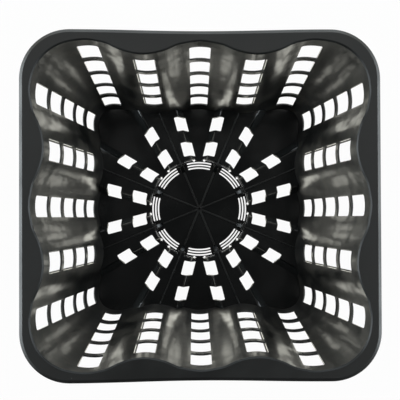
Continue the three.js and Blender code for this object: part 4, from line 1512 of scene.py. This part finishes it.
@dataclass(frozen=True)
class Studio:
    """White ground, soft light and the camera over the basket's mouth.

    The camera's place and the small turns of its view come from the fit to the photo. Seen directly
    or in a reflection, the ground is lit by ground_glow of its own light, and for other rays it is
    plain paper. In reflections it shines ground_gloss times as bright under the basket, and less and
    less over the radii of glow_fade: that is the bright haze on the inner walls. Farther off it is
    plain white, so that the outer walls look dark from low side views. From high side views the
    brighter ground still shows in them and makes them light grey. A lamp's power is LAMP_POWER times
    its face's brightness and area.
    """

    LAMP_POWER = 4

    focal_pixels: float = 585.0
    picture: float = 400.0
    sensor: float = 36.0
    position: tuple[float, float, float] = (-4.4688, -9.6278, 632.49)
    turns: tuple[float, float, float] = (-0.0098, 0.0153, 0.0037)
    principal: tuple[float, float] = (204.13, 212.006)
    ground_half: float = 4.0
    ground_front: float = -0.4
    ground_drop: float = 0.0002
    ground_gloss: float = 2.9
    ground_glow: float = 0.96
    glow_fade: tuple[float, float] = (0.13, 0.25)
    room: float = 0.1

    def camera(self) -> None:
        """Sets up the camera, straight down but for a small lean."""
        lens = self.focal_pixels / self.picture * self.sensor
        data = bpy.data.cameras.new("camera")
        data.sensor_width, data.lens = self.sensor, lens
        data.shift_x = (self.picture / 2 - self.principal[0]) / self.picture
        data.shift_y = (self.principal[1] - self.picture / 2) / self.picture
        data.clip_start, data.clip_end = 0.01, 50.0
        camera = bpy.data.objects.new("camera", data)
        lean, roll, spin = self.turns
        turn_x = Matrix.Rotation(lean, 3, "X")
        turn_y = Matrix.Rotation(roll, 3, "Y")
        turn_z = Matrix.Rotation(spin, 3, "Z")
        world = (turn_y @ turn_x @ turn_z).transposed().to_4x4()
        world.translation = [v * METRES for v in self.position]
        camera.matrix_world = world
        bpy.context.scene.collection.objects.link(camera)
        bpy.context.scene.camera = camera

    def lamp(self, name: str, spot: tuple[float, float, float], aim: tuple[float, float, float],
             size: tuple[float, float], radiance: float, colour: str) -> None:
        """Adds an oblong soft lamp.

        Args:
            name: the lamp's name.
            spot: its middle, in metres.
            aim: the direction it faces.
            size: its width and height, in metres.
            radiance: how bright its face looks.
            colour: its colour.
        """
        data = bpy.data.lights.new(name, "AREA")
        data.shape, data.size, data.size_y = "RECTANGLE", *size
        data.energy = radiance * self.LAMP_POWER * size[0] * size[1]
        data.color = linear(colour)[:3]
        lamp = bpy.data.objects.new(name, data)
        lamp.rotation_euler = Vector(aim).to_track_quat("-Z", "Y").to_euler()
        lamp.location = spot
        bpy.context.scene.collection.objects.link(lamp)

    def backdrop(self) -> None:
        """Makes the pale ground and the white world."""
        ray_kinds = ("Is Camera Ray", "Is Glossy Ray", "Is Transmission Ray")

        def seen(tree: bpy.types.NodeTree, kinds: tuple[str, ...]) -> bpy.types.NodeSocket:
            """One where a ray is of one of the kinds, and zero elsewhere."""
            path = add_node(tree, "ShaderNodeLightPath")
            total = path.outputs[kinds[0]]
            for kind in kinds[1:]:
                total = add_node(tree, "ShaderNodeMath", {"operation": "MAXIMUM"},
                                 {0: total, 1: path.outputs[kind]}).outputs[0]
            return total

        mesh = bpy.data.meshes.new("ground")
        half, front = self.ground_half, self.ground_front
        corners = [(-half, front, 0), (half, front, 0), (half, half, 0), (-half, half, 0)]
        mesh.from_pydata(corners, [], [(0, 1, 2, 3)])
        ground = bpy.data.objects.new("ground", mesh)
        ground.location.z = -self.ground_drop
        bpy.context.scene.collection.objects.link(ground)
        material = bpy.data.materials.new("white_ground")
        material.use_nodes = True
        tree = material.node_tree
        tree.nodes.clear()
        paper = add_node(tree, "ShaderNodeBsdfDiffuse", None, {"Color": linear("#f2f2f0")})
        spot = add_node(tree, "ShaderNodeTexCoord").outputs["Object"]
        reach = add_node(tree, "ShaderNodeVectorMath", {"operation": "LENGTH"}, {0: spot}).outputs["Value"]
        near = add_node(tree, "ShaderNodeMapRange", {"interpolation_type": "SMOOTHSTEP"}, {
            "Value": reach, "From Min": self.glow_fade[0], "From Max": self.glow_fade[1],
            "To Min": self.ground_gloss - 1.0, "To Max": 0.0})
        glossy = seen(tree, ("Is Glossy Ray",))
        strength = add_node(tree, "ShaderNodeMath", {"operation": "MULTIPLY_ADD"}, {
            0: glossy, 1: near.outputs["Result"], 2: 1.0})
        tone = add_node(tree, "ShaderNodeMix", {"data_type": "RGBA"}, {
            0: glossy, 6: linear("#ffffff"), 7: linear("#fffef2")})
        glow = add_node(tree, "ShaderNodeEmission", None, {
            "Color": tone.outputs[2], "Strength": strength.outputs[0]})
        share = add_node(tree, "ShaderNodeMath", {"operation": "MULTIPLY"}, {
            0: seen(tree, ray_kinds), 1: self.ground_glow})
        mixed = add_node(tree, "ShaderNodeMixShader", None,
                         {0: share.outputs[0], 1: paper.outputs[0], 2: glow.outputs[0]})
        add_node(tree, "ShaderNodeOutputMaterial", None, {"Surface": mixed.outputs[0]})
        mesh.materials.append(material)

        world = bpy.data.worlds.new("studio")
        bpy.context.scene.world = world
        world.use_nodes = True
        tree = world.node_tree
        tree.nodes.clear()
        white = add_node(tree, "ShaderNodeBackground", None, {"Color": linear("#ffffff"), "Strength": 1.0})
        dim = add_node(tree, "ShaderNodeBackground", None, {
            "Color": linear("#f4f6f8"), "Strength": self.room})
        mixed = add_node(tree, "ShaderNodeMixShader", None, {
            0: seen(tree, ("Is Camera Ray", "Is Transmission Ray")), 1: dim.outputs[0], 2: white.outputs[0]})
        add_node(tree, "ShaderNodeOutputWorld", None, {"Surface": mixed.outputs[0]})

    def build(self) -> None:
        """Makes the ground, the light and the camera."""
        self.camera()
        self.backdrop()
        down, beside, wide = (0.0, 0.0, -1.0), (1.0, 2.1), (1.8, 0.7)
        neutral, cool = "#fefffc", "#eff9ff"
        self.lamp("overhead_left", (-0.9, 0.12, 1.5), down, beside, 0.57, neutral)
        self.lamp("overhead_right", (0.9, 0.12, 1.5), down, beside, 0.66, neutral)
        self.lamp("overhead_back", (0.0, 0.76, 1.5), down, (0.8, 0.72), 1.05, neutral)
        self.lamp("low_left", (-1.6, 0.1, 0.35), (1.0, 0.0, 0.0), wide, 6.5, cool)
        self.lamp("low_right", (1.6, 0.1, 0.35), (-1.0, 0.0, 0.0), wide, 5.0, cool)
        self.lamp("low_back", (0.0, 1.6, 0.35), (0.0, -1.0, 0.0), wide, 2.2, cool)


def main() -> None:
    """Builds the basket, dresses it and sets the studio round it."""
    logging.basicConfig(level=logging.INFO, format="%(name)s: %(message)s")
    surface = WallSurface(SIZES)
    finishes = Finishes.make()
    sweep = RibSweep()
    wall = Wall(SIZES, surface)
    wall.build(finishes.wall)
    ribs = sweep.run("slot_column_ribs", wall.rib_paths(), SIZES.rib_width, SIZES.rib_depth + SIZES.rib_bite,
                     SIZES.rib_fillet, 1, finishes.outer_rib)
    finish(ribs, finishes.outer_rib, Slot.WALL, [])
    Rim(SIZES, surface).build(finishes.rim)
    Floor(SIZES, surface).build(finishes, sweep)
    Studio().build()
    bpy.context.scene.view_settings.view_transform = "Standard"


if __name__ == "__main__":
    main()
